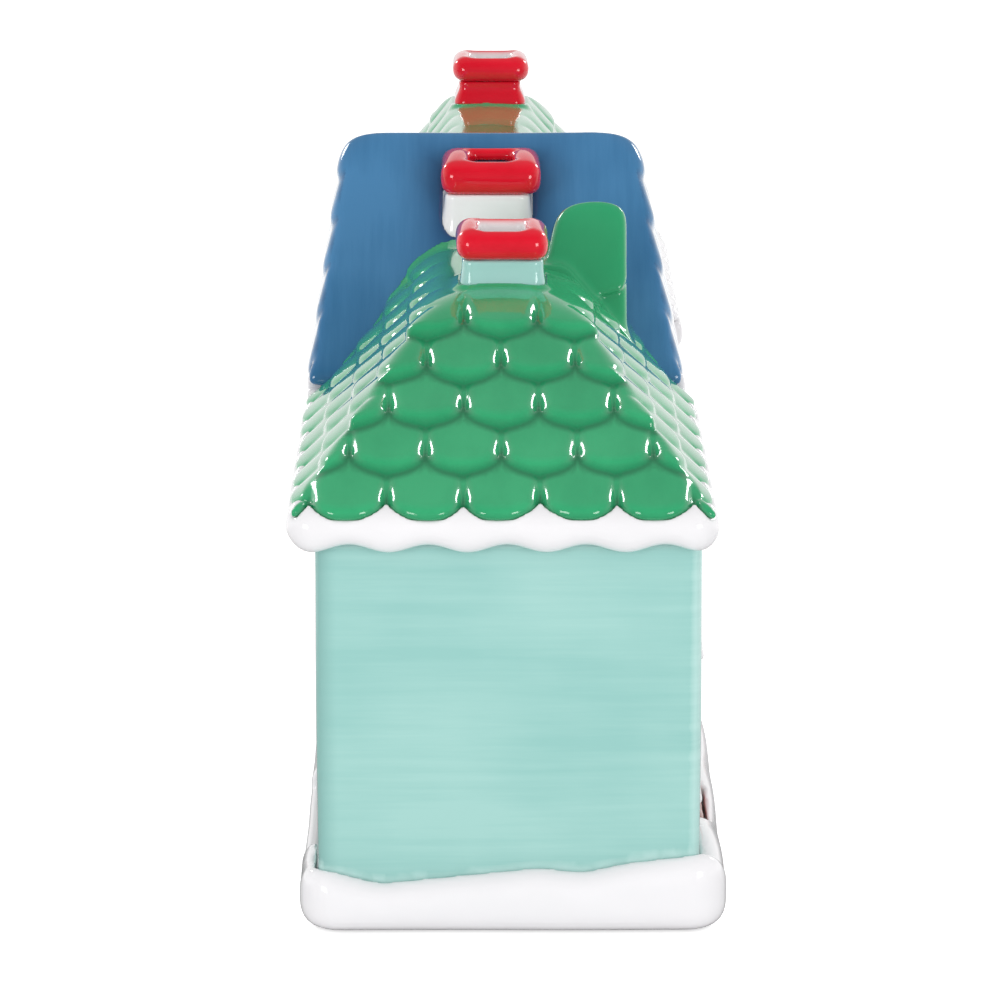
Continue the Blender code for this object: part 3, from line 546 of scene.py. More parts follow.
def eaves_field(g, house):
    """The roll of snow under a roof. Only the row's two ends have its rounded corners."""
    x_low, x_high = WALL_SPAN[house]
    low = (-EAVE_END if house == "near" else x_low, EAVE_FRONT)
    high = (EAVE_END if house == "rear" else x_high, EAVE_BACK)
    plan_low = low[0] if house == "near" else -2 * EAVE_END
    plan_high = high[0] if house == "rear" else 2 * EAVE_END
    plan = rounded_plan(g, (plan_low, low[1]), (plan_high, high[1]), 6.0)
    under = 5.0 if house != "middle" else 2.4
    roll = meet(plan + 0.1 * sway(g, 12), hem(g, house) - g.z, under)
    slopes = slopes_of(house)
    top = slopes[0].plane(g)
    under_tiles = -slopes[0].edge(g, 0)
    for slope in slopes[1:]:
        top = meet(top, slope.plane(g), 2.6)
        under_tiles = np.maximum(under_tiles, -slope.edge(g, 0))
    roll = meet(roll, top - SNOW_RISE, 2.4)
    under_tiles = np.maximum(under_tiles, ROOF_Z[house] - g.z) + 0.1
    roll = np.maximum(roll, -under_tiles)
    if house == "middle":
        notch = 5 * np.clip((PARTY_X - 2 - np.abs(g.x)) / 3, 0, 1)
        roll = meet(roll, g.z - ROOF_Z[house] - notch, 0.6)
    wall = rounded_plan(g, (x_low, -WALL_HALF_DEPTH), (x_high, WALL_HALF_DEPTH), WALL_CORNER)
    roll = np.maximum(roll, -np.maximum(wall - 0.05, g.z - WALL_TOP[house] - 0.05))
    roll = np.maximum(roll, slab(g.x, low[0] - 1, high[0]))
    room = slab(g.x, x_low + WALL_THICKNESS, x_high - WALL_THICKNESS)
    room = np.maximum(room, np.abs(g.y) - WALL_HALF_DEPTH + WALL_THICKNESS)
    return carve(roll, room, 0.6)


def bank_top(g):
    """Height of the snow against the walls."""
    end_y = np.array([p[0] for p in END_BANK])
    end_z = np.array([p[1] for p in END_BANK])
    dense_y = np.linspace(-45, 45, 181)
    dense_z = np.interp(dense_y, end_y, end_z)
    kernel = np.hanning(15)
    padded = np.pad(dense_z, 7, mode="edge")
    dense_z = np.convolve(padded, kernel / kernel.sum(), "valid")
    end = np.interp(np.broadcast_to(g.y, g.y.shape), dense_y, dense_z)
    face = np.sign(g.y)
    wave = np.sin(g.x / 6.4 + 0.4 * face) + 0.6 * np.sin(g.x / 9.1 + 1.0 + 0.9 * face)
    plain = BANK_HEIGHT + BANK_WAVE * wave + 0.3 * np.sin(g.y / 7.0)
    blend = np.clip((-END_WALL_X + 8 - g.x) / 8, 0, 1)
    return plain + (end - plain) * blend


def base_field(g):
    plan = rounded_plan(
        g, (-BASE_HALF_LENGTH, BASE_FRONT), (BASE_HALF_LENGTH, BASE_BACK), BASE_CORNER
    )
    plan = plan + 0.25 * sway(g, 37, 0.4)
    bank = g.z - bank_top(g) - 0.02 * np.minimum(plan, 0)
    field = meet(plan, bank, 5.5)
    field = meet(field, -g.z, BASE_ROUND)
    corner = (END_WALL_X + GAP, WALL_HALF_DEPTH + GAP)
    walls = rounded_plan(g, (-corner[0], -corner[1]), corner, WALL_CORNER + GAP)
    field = carve(field, np.maximum(walls, FLOOR_Z - g.z), 0.5)
    for house, centre in HOUSE_CENTRE.items():
        sill = np.maximum(np.abs(g.x - centre) - ARCH_HALF - 1, FLOOR_Z - g.z)
        sill = np.maximum(sill, WALL_HALF_DEPTH - 1 - g.y)
        field = carve(field, sill, 1.6)
        step = np.maximum(np.abs(g.x - DOOR_X[house]) - STEP_HALF - GAP, 6.7 - g.z)
        step = np.maximum(step, slab(g.y, STEP_FRONT - GAP, 1 - WALL_HALF_DEPTH))
        field = carve(field, step, 0.8)
    return field


# Walls and what is on them
def window_boxes(house):
    """x of the middle and z of the sill of each window frame, read from its solid."""
    found = {}
    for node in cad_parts:
        if node.startswith("window_frame_" + house):
            low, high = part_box(node)
            middle = (low.x + high.x) / 2 / MM
            sill = high.z / MM - 2.0 - WINDOW_HEIGHT
            found[node] = (middle, sill)
    return found


def window_hole(g, middle, sill):
    return np.maximum(np.abs(g.x - middle) - WINDOW_HALF, slab(g.z, sill, sill + WINDOW_HEIGHT))


def walls_field(g, house):
    x_low, x_high = WALL_SPAN[house]
    low = (x_low, -WALL_HALF_DEPTH)
    high = (x_high, WALL_HALF_DEPTH)
    field = rounded_plan(g, low, high, WALL_CORNER) + 0.09 * sway(g, 29, 1.1)
    field = meet(field, slab(g.z, FLOOR_Z + GAP, WALL_TOP[house]), 0.6)
    room = rounded_plan(
        g,
        (x_low + WALL_THICKNESS, -WALL_HALF_DEPTH + WALL_THICKNESS),
        (x_high - WALL_THICKNESS, WALL_HALF_DEPTH - WALL_THICKNESS),
        1.5,
    )
    field = carve(field, room, 0.6)
    back = np.maximum(arch(g, HOUSE_CENTRE[house], ARCH_HALF, 0, ARCH_SPRING), 20 - g.y)
    field = carve(field, back, 1.4)
    for middle, sill in window_boxes(house).values():
        hole = window_hole(g, middle, sill)
        field = carve(field, np.maximum(hole, g.y + 20), 0.8)
        field = carve(field, np.maximum(hole - 2.3, g.y - FRAME_BACK - GAP), 0.3)
    recess = arch(g, DOOR_X[house], DOOR_HALF + GAP, DOOR_BOTTOM - GAP, DOOR_SPRING)
    return carve(field, np.maximum(recess, g.y + WALL_HALF_DEPTH - 1.5), 0.5)


# Chimneys and dormer
def stack_body(g, house):
    """Distance from a stack, without its flue; its foot flares onto the roof."""
    low_x, high_x, _, _, base, _, _ = CHIMNEYS[house]
    centre_y, half = STACK_SIDES[house]
    plan = rounded_plan(g, (low_x, centre_y - half), (high_x, centre_y + half), 2.2)
    over_roof = blue_slopes(g) if house == "middle" else g.z - base
    flare, neck = STACK_FLARE[house]
    plan = plan - flare * np.exp(-np.maximum(over_roof, 0) / 2.0) + 0.1 * sway(g, 11, 0.5)
    plan = plan + neck * np.exp(-((g.z - CHIMNEYS[house][5] + 1.4) / 1.6) ** 2)
    return np.maximum(plan, g.z - base - 12)


def stack_field(g, house):
    base, top = CHIMNEYS[house][4:6]
    foot = base - (14 if house == "middle" else 0.7)
    field = meet(stack_body(g, house), slab(g.z, foot, top), 0.4)
    if house == "middle":
        field = np.maximum(field, 0.3 - blue_slopes(g))
    return carve(field, flue(g, house), 0.6)


def cap_field(g, house):
    """A cushion of a cap: its sides bulge, and its upper edge is rounder than its lower one."""
    low_x, high_x, centre_y, half, _, base, top = CHIMNEYS[house]
    lip = 0.95
    plan = rounded_plan(
        g, (low_x - lip, centre_y - half - lip), (high_x + lip, centre_y + half + lip), 3.2
    )
    bulge = ((g.z - (base + top) / 2) / (top - base)) ** 2
    field = plan + 1.6 * bulge + 0.15 * sway(g, 13, 0.9)
    run = g.x - (low_x + high_x) / 2
    crown = top + CAP_TILT[house] * (run + 6.0) - run ** 2 / CROWN_SPREAD
    field = meet(meet(field, g.z - crown, 3.0), base - 0.1 - g.z, 2.2)
    if house == "middle":
        field = np.maximum(field, 0.3 - blue_slopes(g))
    return carve(field, flue(g, house), 2.2)


def dormer_disc(g):
    """Distance in x and z from the middle of the dormer's round window."""
    low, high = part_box("dormer_window_near")
    across = g.x - (low.x + high.x) / 2 / MM
    up = g.z - (low.z + high.z) / 2 / MM
    return np.sqrt(across ** 2 + up ** 2)


def dormer_field(g):
    """A gable whose slopes each end in one big tile over a lower course."""
    rise = DORMER_TOP - DORMER_FOOT
    lean = math.atan2(rise, DORMER_HALF)
    height = (g.z - DORMER_TOP - 1.0) * math.cos(lean)
    left = (DORMER_X - g.x) * math.sin(lean) + height
    right = (g.x - DORMER_X) * math.sin(lean) + height
    gable = meet(left, right, 2.0)
    centre, width, low_z, depth = DORMER_TILE
    across = np.minimum(2 * np.abs(g.y - centre) / width, 1)
    edge = low_z + depth * (1 - np.sqrt(1 - across ** 2))
    gable = join(meet(gable, edge - g.z, 1.2), gable + 1.3, 0.5)
    (back_y, back_z), (high_y, high_z) = DORMER_BACK
    length = math.hypot(high_y - back_y, high_z - back_z)
    back = ((g.y - back_y) * (high_z - back_z) - (g.z - back_z) * (high_y - back_y)) / length
    ends = meet(DORMER_FRONT - g.y, g.z - DORMER_TOP, 5.5)
    ends = meet(ends, back, 6.5)
    body = meet(gable, ends, 1.8)
    slope = slopes_of("near")[1]
    roof = meet(slope.plane(g) - 0.8, g.z - RIDGE_Z["near"], 1.5)
    soft = 1.8
    skirt = join(body, roof, soft)
    field = np.maximum(np.maximum(skirt, -roof - 2.0), body - soft)
    field = np.maximum(field, 86 - g.z)
    recess = np.maximum(dormer_disc(g) - 3.3, g.y - DORMER_FRONT - 1.0)
    return carve(carve(field, recess, 0.3), middle_house(g) - GAP, 0.4)


# Doors, steps, wreaths and window frames
def door_field(g, centre):
    """A door with an arched upper panel, two lower panels and a knob."""
    outline = arch(g, centre, DOOR_HALF, DOOR_BOTTOM, DOOR_SPRING)
    field = meet(outline, slab(g.y, DOOR_FACE, DOOR_BACK), 0.6)
    panel_top = np.maximum(arch(g, centre, PANEL_HALF, 27.0, DOOR_SPRING), g.y - DOOR_FACE - 0.5)
    panel_low = np.maximum(np.abs(g.x - centre) - PANEL_HALF, slab(g.z, DOOR_BOTTOM + 2, 25.0))
    panel_low = np.maximum(panel_low, g.y - DOOR_FACE - 0.5)
    middle = 0.4 - np.abs(g.x - centre)
    panel_low = np.maximum(panel_low, middle)
    field = carve(carve(field, panel_top, 0.5), panel_low, 0.5)
    knob = (g.x - centre - 4.6) ** 2 + (g.y - DOOR_FACE) ** 2 + (g.z - 26.0) ** 2
    return join(field, np.sqrt(knob) - 0.8, 0.3)


def step_field(g, centre):
    low = (centre - STEP_HALF, STEP_FRONT, 7.0)
    high = (centre + STEP_HALF, -WALL_HALF_DEPTH - GAP, 10.5)
    field = rounded_box(g, low, high, 0.8) + 0.1 * sway(g, 6)
    course = np.abs(g.z - 8.8) - 0.12
    return carve(field, np.maximum(course, g.y - STEP_FRONT - 0.4), 0.3)


def berries(centre, hang_y, hang_z):
    """x, y, z and radius of the wreath's berries and of its bow."""
    balls = []
    for turn in (40, 140, 200, 340):
        angle = math.radians(turn)
        x = centre + WREATH_RADIUS * math.cos(angle)
        z = hang_z + WREATH_RADIUS * math.sin(angle)
        balls.append((x, hang_y - 0.5, z, 0.42))
    for shift in (-0.9, 0.0, 0.9):
        size = 0.5 if shift == 0 else 0.72
        balls.append((centre + shift, hang_y - 0.25, hang_z - WREATH_RADIUS, size))
    return balls


def wreath_field(g, centre, hang_y, hang_z):
    """A ring of leaves with berries and a bow at its foot."""
    across = g.x - centre
    up = g.z - hang_z
    out = g.y - hang_y
    angle = np.arctan2(up, across)
    radius = np.sqrt(across ** 2 + up ** 2)
    leaf = 0.16 * np.cos(14 * angle + 2.2 * (radius - 3.8)) + 0.1 * np.cos(9 * angle - 3 * out)
    field = np.sqrt((radius - WREATH_RADIUS) ** 2 + out ** 2) - 0.78 - leaf
    for berry in berries(centre, hang_y, hang_z):
        ball = np.sqrt((g.x - berry[0]) ** 2 + (g.y - berry[1]) ** 2 + (g.z - berry[2]) ** 2)
        field = join(field, ball - berry[3], 0.1)
    return np.maximum(field, slab(out, -0.95, 0.9))


def frame_field(g, middle, sill):
    """A frame sunk in the wall, with a deeper lower rail for a sill."""
    low = (middle - 8, FRAME_FACE, sill - 2)
    outer = rounded_box(g, low, (middle + 8, FRAME_BACK + 2, sill + WINDOW_HEIGHT + 2), 0.5)
    low = (middle - 8, FRAME_FACE - 0.6, sill - 2)
    rail = rounded_box(g, low, (middle + 8, FRAME_BACK + 2, sill - 0.2), 0.5)
    field = np.maximum(join(outer, rail, 0.4), g.y - FRAME_BACK)
    return carve(field, window_hole(g, middle, sill), 0.5)


# Materials
class Nodes:
    """Adds nodes to a node tree; most of its methods return the output that they make."""

    def __init__(self, tree):
        self.tree = tree

    def node(self, kind, **values):
        made = self.tree.nodes.new(kind)
        for key, value in values.items():
            setattr(made, key, value)
        return made

    def feed(self, node, inputs):
        """Gives a node's sockets numbers, lists of numbers, colours or other nodes' outputs."""
        for name, value in inputs.items():
            socket = node.inputs[name]
            if isinstance(value, (float, list)):
                socket.default_value = value
            elif isinstance(value, tuple):
                socket.default_value = (*value, 1.0)
            else:
                self.tree.links.new(value, socket)

    def made(self, kind, output, inputs, **values):
        """Adds a node, feeds its sockets and returns one of its outputs."""
        node = self.node(kind, **values)
        self.feed(node, inputs)
        return node.outputs[output]

    def spread(self, value, low, high, low_to=0.0, high_to=1.0):
        """Maps a range of values to another, clamped."""
        ends = {"From Min": low, "From Max": high, "To Min": low_to, "To Max": high_to}
        return self.made("ShaderNodeMapRange", "Result", {"Value": value, **ends})

    def math(self, operation, first, second):
        return self.made("ShaderNodeMath", "Value", {0: first, 1: second}, operation=operation)

    def blend(self, factor, first, second):
        """Mixes two numbers."""
        return self.made("ShaderNodeMix", 0, {0: factor, 2: first, 3: second})

    def mix(self, factor, first, second):
        """Mixes two colours."""
        return self.made("ShaderNodeMix", 2, {0: factor, 6: first, 7: second}, data_type="RGBA")

    def place(self, system, axis):
        """One coordinate of the point or direction that is shaded."""
        whole = self.node("ShaderNodeTexCoord").outputs[system]
        return self.made("ShaderNodeSeparateXYZ", axis, {0: whole})


class Glaze(Nodes):
    """Builds one node material."""

    def __init__(self, name, roughness, coat=0.0, metallic=0.0):
        self.material = bpy.data.materials.new(name)
        self.material.use_nodes = True
        super().__init__(self.material.node_tree)
        self.shader = self.tree.nodes["Principled BSDF"]
        self.feed(self.shader, {"Roughness": roughness, "Metallic": metallic})
        if coat:
            gloss = {"Coat Weight": coat, "Coat Roughness": 0.03, "Specular IOR Level": 0.25}
            self.feed(self.shader, gloss)
        self.coordinates = self.node("ShaderNodeTexCoord").outputs["Object"]

    def noise(self, per_mm, detail=3.0, roughness=0.5):
        """Noise with a number of cells per millimetre along each axis."""
        scale = [value / MM for value in per_mm]
        cells = self.made("ShaderNodeMapping", "Vector", {"Vector": self.coordinates, "Scale": scale})
        inputs = {"Vector": cells, "Scale": 1.0, "Detail": detail, "Roughness": roughness}
        return self.made("ShaderNodeTexNoise", "Fac", inputs)

    def mark(self, name):
        return self.made("ShaderNodeAttribute", "Fac", {}, attribute_name=name)

    def colour(self, output):
        self.feed(self.shader, {"Base Color": output})

    def bump(self, height, distance, strength):
        inputs = {"Height": height, "Distance": distance * MM, "Strength": strength}
        self.feed(self.shader, {"Normal": self.made("ShaderNodeBump", "Normal", inputs)})

    def vary_roughness(self, value, low, high):
        self.feed(self.shader, {"Roughness": self.spread(value, 0.3, 0.7, low, high)})


def brushed_glaze(name, light, dark, strokes, weight=0.45, **marked):
    """A coloured glaze laid on with a brush: strokes gives the noise cells per mm on each axis.

    marked gives the colours of pooled glaze with painted shade, an edge, an inner face and snow, where the
    marks say.
    """
    glaze = Glaze(name, 0.12, coat=1.0)
    fine = glaze.noise(strokes, 4.0, 0.6)
    broad = glaze.noise((0.03, 0.03, 0.03), 2.0)
    wash = glaze.math("MULTIPLY", broad, 1 - weight)
    stroke = glaze.math("ADD", glaze.math("MULTIPLY", fine, weight), wash)
    colour = glaze.mix(glaze.spread(stroke, 0.38, 0.62), dark, light)
    if "pool" in marked:
        depth = glaze.mark("pool")
        colour = glaze.mix(glaze.spread(depth, 0.15, 0.95), colour, marked["pool"])
    if "edge" in marked:
        rim = glaze.math("ADD", glaze.mark("edge"), glaze.math("MULTIPLY", fine, 0.5))
        colour = glaze.mix(glaze.spread(rim, 0.75, 1.25), colour, marked["edge"])
    for mark in ("inner", "snow"):
        if mark in marked:
            colour = glaze.mix(glaze.mark(mark), colour, marked[mark])
    glaze.colour(colour)
    glaze.vary_roughness(broad, 0.08, 0.16)
    glaze.bump(glaze.noise((0.25, 0.25, 0.25), 2.0), 0.12, 0.35)
    return glaze.material


def snow_glaze(name, light, shade):
    """White glaze with faint clouds of a second tone."""
    glaze = Glaze(name, 0.12, coat=0.8)
    broad = glaze.noise((0.05, 0.05, 0.05), 3.0)
    colour = glaze.mix(glaze.spread(broad, 0.35, 0.65), shade, light)
    glaze.colour(colour)
    glaze.vary_roughness(broad, 0.08, 0.16)
    glaze.bump(glaze.noise((0.18, 0.18, 0.18), 2.0), 0.15, 0.35)
    return glaze.material


def grained(name, cells, detail, dark, light, roughness, relief, metallic=0.0):
    """A material whose grain gives its tone, its roughness and its relief."""
    glaze = Glaze(name, roughness[0], metallic=metallic)
    grain = glaze.noise(cells, detail)
    glaze.colour(glaze.mix(glaze.spread(grain, 0.3, 0.7), dark, light))
    glaze.vary_roughness(grain, *roughness)
    glaze.bump(grain, *relief)
    return glaze


def foil_material():
    """Drawn aluminium foil with faint turned lines."""
    dark, light = (0.66, 0.67, 0.68), (0.82, 0.83, 0.84)
    foil = grained("cup_foil", (0.2, 0.2, 6.0), 2.0, dark, light, (0.22, 0.36), (0.02, 0.4), 1.0)
    return foil.material


def wax_material():
    """Pale candle wax with a faint crystalline bloom."""
    dark, light = (0.85, 0.82, 0.73), (0.92, 0.9, 0.84)
    wax = grained("candle_wax_surface", (0.9, 0.9, 0.9), 3.0, dark, light, (0.38, 0.55), (0.05, 0.4))
    reach = [0.004, 0.003, 0.002]
    glow = {"Subsurface Weight": 0.25, "Subsurface Radius": reach, "Subsurface Scale": 0.5}
    wax.feed(wax.shader, glow)
    return wax.material


def cotton_material():
    """Braided cotton dipped in wax."""
    dark, light = (0.6, 0.55, 0.45), (0.88, 0.86, 0.8)
    cotton = grained("wick_braid", (5.0, 5.0, 2.0), 3.0, dark, light, (0.7, 0.9), (0.08, 0.6))
    return cotton.material


def tin_material():
    """Rolled tinned steel."""
    dark, light = (0.5, 0.5, 0.51), (0.68, 0.69, 0.7)
    tin = grained("tab_tin", (3.0, 0.5, 0.5), 2.0, dark, light, (0.3, 0.45), (0.02, 0.3), 1.0)
    return tin.material


def wreath_material():
    """Green leaves, with red berries and bow where the mark says."""
    glaze = Glaze("wreath_leaves", 0.12, coat=0.8)
    fine = glaze.noise((1.4, 1.4, 1.4), 2.0)
    leaves = glaze.mix(glaze.spread(fine, 0.35, 0.65), (0.015, 0.16, 0.05), (0.05, 0.34, 0.12))
    glaze.colour(glaze.mix(glaze.mark("berry"), leaves, (0.68, 0.02, 0.035)))
    glaze.vary_roughness(fine, 0.08, 0.18)
    glaze.bump(fine, 0.08, 0.4)
    return glaze.material


# Making the pieces
def build_base():
    grid = Grid((-131, -42.5, -1), (131, 41.5, 17.5), BASE_MESH)
    material = snow_glaze("snow_base_glaze", SNOW_LIGHT, SNOW_SHADE)
    ceramic("snow_base", base_field(grid), grid, material, "snow_glaze")


def wall_edge(house):
    """Mark of how near a wall's painted edge is: its top, its foot and its front corner."""
    def rule(p):
        foot = np.exp(-np.maximum(p.z - bank_top(p), 0) / 1.3)
        head = np.exp(-np.maximum(WALL_TOP[house] - p.z, 0) / 1.6)
        corner = 0.9 * np.exp(-np.maximum(p.y + WALL_HALF_DEPTH - 1.5, 0) / 1.2)
        return np.maximum(np.maximum(foot, head), corner)
    return rule


def back_corner_shade(p):
    """Mark of the painted shade down the back corners of the walls."""
    return 0.9 * np.exp(-((WALL_HALF_DEPTH - p.y) / 3.0) ** 2)


def build_walls():
    looks = {
        "near": ("teal_glaze", (0.385, 0.66, 0.615), (0.31, 0.59, 0.55), (0.50, 0.75, 0.71)),
        "middle": ("white_glaze", (0.87, 0.87, 0.88), (0.83, 0.83, 0.845), (0.88, 0.88, 0.89)),
        "rear": ("red_glaze", RED_LIGHT, RED_DARK, (0.74, 0.10, 0.11)),
    }
    for house, (slot_name, light, dark, edge) in looks.items():
        x_low, x_high = WALL_SPAN[house]
        grid = Grid((x_low - 1.5, -37.5, 5), (x_high + 1.5, 37.5, WALL_TOP[house] + 1.5), WALL_MESH)
        # Colour of the painted shade down the walls' back corners
        pool = tuple(0.82 * value for value in dark)
        node = "walls_" + house
        material = brushed_glaze(node + "_glaze", light, dark, (0.02, 0.02, 0.45), pool=pool, edge=edge)
        marks = {"edge": wall_edge(house), "pool": back_corner_shade}
        ceramic(node, walls_field(grid, house), grid, material, slot_name, marks=marks)


def build_eaves():
    # The eaves' snow is a darker copy of the base's snow glaze: painted shade, for the eaves catch more
    # light
    material = snow_glaze("snow_eaves_shaded_glaze", SNOW_SHADE, tuple(0.97 * v for v in SNOW_SHADE))
    for house in WALL_SPAN:
        x_low, x_high = WALL_SPAN[house]
        low = (x_low - (7 if house == "near" else 1.5), -40, WALL_TOP[house] - 2.5)
        high = (x_high + (7 if house == "rear" else 1.5), 42.5, WALL_TOP[house] + 12)
        grid = Grid(low, high, EAVES_MESH)
        ceramic("snow_eaves_" + house, eaves_field(grid, house), grid, material, "snow_glaze")


def on_slopes(p, house, values):
    """For each point the value of the slope that it lies on, and its distance from that slope."""
    planes = np.stack([slope.plane(p) for slope in slopes_of(house)])
    return np.choose(np.argmax(planes, axis=0), values), planes.max(axis=0)


def tile_pool_and_shade(house):
    """Mark of how deep the glaze pools on a tiled roof, which also paints shade under the tiles' noses and
    in their cusps.
    """
    def rule(p):
        depth = on_slopes(p, house, [slope.pool(p) for slope in slopes_of(house)])[0]
        return np.where(p.z > RIDGE_Z[house] - 0.8, 0.0, depth)
    return rule


def snowed_course(p):
    """Mark of the snow painted over the bottom course of the rear roof."""
    above = on_slopes(p, "rear", [slope.edge(p, 1) for slope in slopes_of("rear")])[0]
    return np.clip(0.5 - above / 0.8, 0, 1)


def gable_pool_and_shade(p):
    """Mark of the pooled glaze and painted shade on the middle roof's tiled faces, and of painted shade
    round its stack's foot.
    """
    depth, plane = on_slopes(p, "middle", [slope.pool(p) for slope in slopes_of("middle")])
    # Painted shade on the smooth blue slopes, darkest next to the stack and fading over a few millimetres
    shade_beside_stack = 0.9 * np.exp(-np.maximum(stack_body(p, "middle"), 0) / 5.5)
    return np.where(plane > blue_slopes(p) - 0.5, depth, shade_beside_stack)


def build_roofs():
    spans = {"near": (-131.5, -16.0), "rear": (1.0, 131.5)}
    for house, (low, high) in spans.items():
        grid = Grid((low, -41, 78.5), (high, 43.5, RIDGE_Z[house] + 3), ROOF_MESH[house])
        # Pooled glaze with painted shade under the tiles' noses and in their cusps
        marks = {"pool": tile_pool_and_shade(house)}
        marked = {"pool": GREEN_POOL_AND_SHADE}
        if house == "rear":
            marks["snow"] = snowed_course
            marked["snow"] = SNOW_LIGHT
        node = "roof_" + house
        material = brushed_glaze(node + "_glaze", GREEN_LIGHT, GREEN_DARK, (0.05, 0.12, 0.12), **marked)
        ceramic(node, end_roof_field(grid, house), grid, material, "green_glaze", marks=marks)
    grid = Grid((-40, -38, 81.5), (40, 43, 130.5), ROOF_MESH["middle"])
    strokes = (0.06, 0.6, 0.06)
    material = brushed_glaze("roof_middle_glaze", BLUE_LIGHT, BLUE_DARK, strokes, 0.22, pool=BLUE_POOL_AND_SHADE)
    marks = {"pool": gable_pool_and_shade}
    ceramic("roof_middle", middle_roof_field(grid), grid, material, "blue_glaze", soft=2, marks=marks)


def build_chimneys():
    cap_strokes = (0.15, 0.15, 0.4)
    lined_red = brushed_glaze("lined_cap_glaze", RED_LIGHT, RED_DARK, cap_strokes, inner=(0.9, 0.86, 0.87))
    plain_red = brushed_glaze("cap_glaze", RED_LIGHT, RED_DARK, cap_strokes)
    stack_strokes = (0.1, 0.1, 0.4)
    looks = {
        "near": ("teal_glaze", (0.39, 0.67, 0.625), (0.35, 0.635, 0.59), lined_red),
        # The middle stack's white is lighter than the walls' white glaze: painted light that lifts the
        # shade falling on the stack
        "middle": ("white_glaze", (0.93, 0.915, 0.93), (0.9, 0.885, 0.9), plain_red),
        "rear": ("red_glaze", RED_LIGHT, RED_DARK, lined_red),
    }
    for house, (slot_name, light, dark, red) in looks.items():
        low_x, high_x, centre_y, half, base, top, cap_top = CHIMNEYS[house]

        def inside(p, house=house):
            return np.clip(1 - (flue(p, house) - 0.1) / 0.9, 0, 1)

        marks = {"inner": inside}
        foot = base - (14 if house == "middle" else 2)
        low = (low_x - 2, centre_y - half - 2, foot)
        grid = Grid(low, (high_x + 2, centre_y + half + 2, top + 1), CHIMNEY_MESH)
        name = "stack_" + house + "_glaze"
        material = brushed_glaze(name, light, dark, stack_strokes, inner=(0.9, 0.89, 0.89))
        field = stack_field(grid, house)
        ceramic("chimney_stack_" + house, field, grid, material, slot_name, marks=marks)
        low = (low_x - 3, centre_y - half - 3, top - 1)
        grid = Grid(low, (high_x + 3, centre_y + half + 3, cap_top + 2), CHIMNEY_MESH)
        field = cap_field(grid, house)
        ceramic("chimney_cap_" + house, field, grid, red, "red_glaze", marks=marks)


def build_dormer():
    grid = Grid((-52, -30, 84), (-16, -2, 122), CHIMNEY_MESH)
    light = tuple(0.87 * value for value in GREEN_LIGHT)
    material = brushed_glaze("dormer_glaze", light, GREEN_DARK, (0.1, 0.1, 0.1))
    ceramic("dormer_near", dormer_field(grid), grid, material, "green_glaze")
    low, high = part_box("dormer_window_near")
    low = Vector(low) / MM
    high = Vector(high) / MM
    start = (low.x - 1, DORMER_FRONT - 1, low.z - 1)
    grid = Grid(start, (high.x + 1, DORMER_FRONT + 2, high.z + 1), PANE_MESH)
    disc = dormer_disc(grid)
    pane = meet(disc - 3.0, slab(grid.y, DORMER_FRONT + 0.1, DORMER_FRONT + 0.9), 0.3)
    ring = np.abs(disc - 2.1) - 0.25
    pane = carve(pane, np.maximum(ring, grid.y - DORMER_FRONT - 0.35), 0.2)
    material = snow_glaze("dormer_window_glaze", SNOW_LIGHT, SNOW_SHADE)
    ceramic("dormer_window_near", pane, grid, material, "white_glaze")


def berry_mark(balls):
    """Mark of the berries and the bow on a wreath."""
    def rule(p):
        nearest = np.full(len(p.x), 9.0)
        for x, y, z, radius in balls:
            ball = np.sqrt((p.x - x) ** 2 + (p.y - y) ** 2 + (p.z - z) ** 2)
            nearest = np.minimum(nearest, ball - radius)
        return np.clip(1 - (nearest - 0.05) / 0.15, 0, 1)
    return rule


def build_fronts():
    doors = {
        "near": ("red_glaze", RED_LIGHT, RED_DARK),
        "middle": ("blue_glaze", BLUE_LIGHT, BLUE_DARK),
        "rear": ("green_glaze", GREEN_LIGHT, GREEN_DARK),
    }
    brick = brushed_glaze("step_glaze", (0.34, 0.09, 0.05), (0.26, 0.06, 0.035), (0.3, 0.3, 0.8))
    leaves = wreath_material()
    white = snow_glaze("window_frame_glaze", SNOW_LIGHT, SNOW_SHADE)
    for house, (slot_name, light, dark) in doors.items():
        centre = DOOR_X[house]
        grid = Grid((centre - 9, -38, 9.5), (centre + 9, -33.5, 41.5), DOOR_MESH)
        material = brushed_glaze("door_" + house + "_glaze", light, dark, (0.8, 0.8, 0.06))
        ceramic("door_" + house, door_field(grid, centre), grid, material, slot_name)
        grid = Grid((centre - 11, -40, 6), (centre + 11, -34.5, 11.5), STEP_MESH)
        ceramic("door_step_" + house, step_field(grid, centre), grid, brick, "brick_glaze")
        low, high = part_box("wreath_" + house)
        y = (low.y + high.y) / 2 / MM
        z = (low.z + high.z) / 2 / MM
        grid = Grid((centre - 5.5, y - 1.6, z - 5.5), (centre + 5.5, y + 1.6, z + 5.5), WREATH_MESH)
        marks = {"berry": berry_mark(berries(centre, y, z))}
        field = wreath_field(grid, centre, y, z)
        ceramic("wreath_" + house, field, grid, leaves, "green_glaze", marks=marks)
        for node, (middle, sill) in window_boxes(house).items():
            low = (middle - 10, -38.5, sill - 3.5)
            grid = Grid(low, (middle + 10, -35, sill + WINDOW_HEIGHT + 3), FRAME_MESH)
            ceramic(node, frame_field(grid, middle, sill), grid, white, "white_glaze")


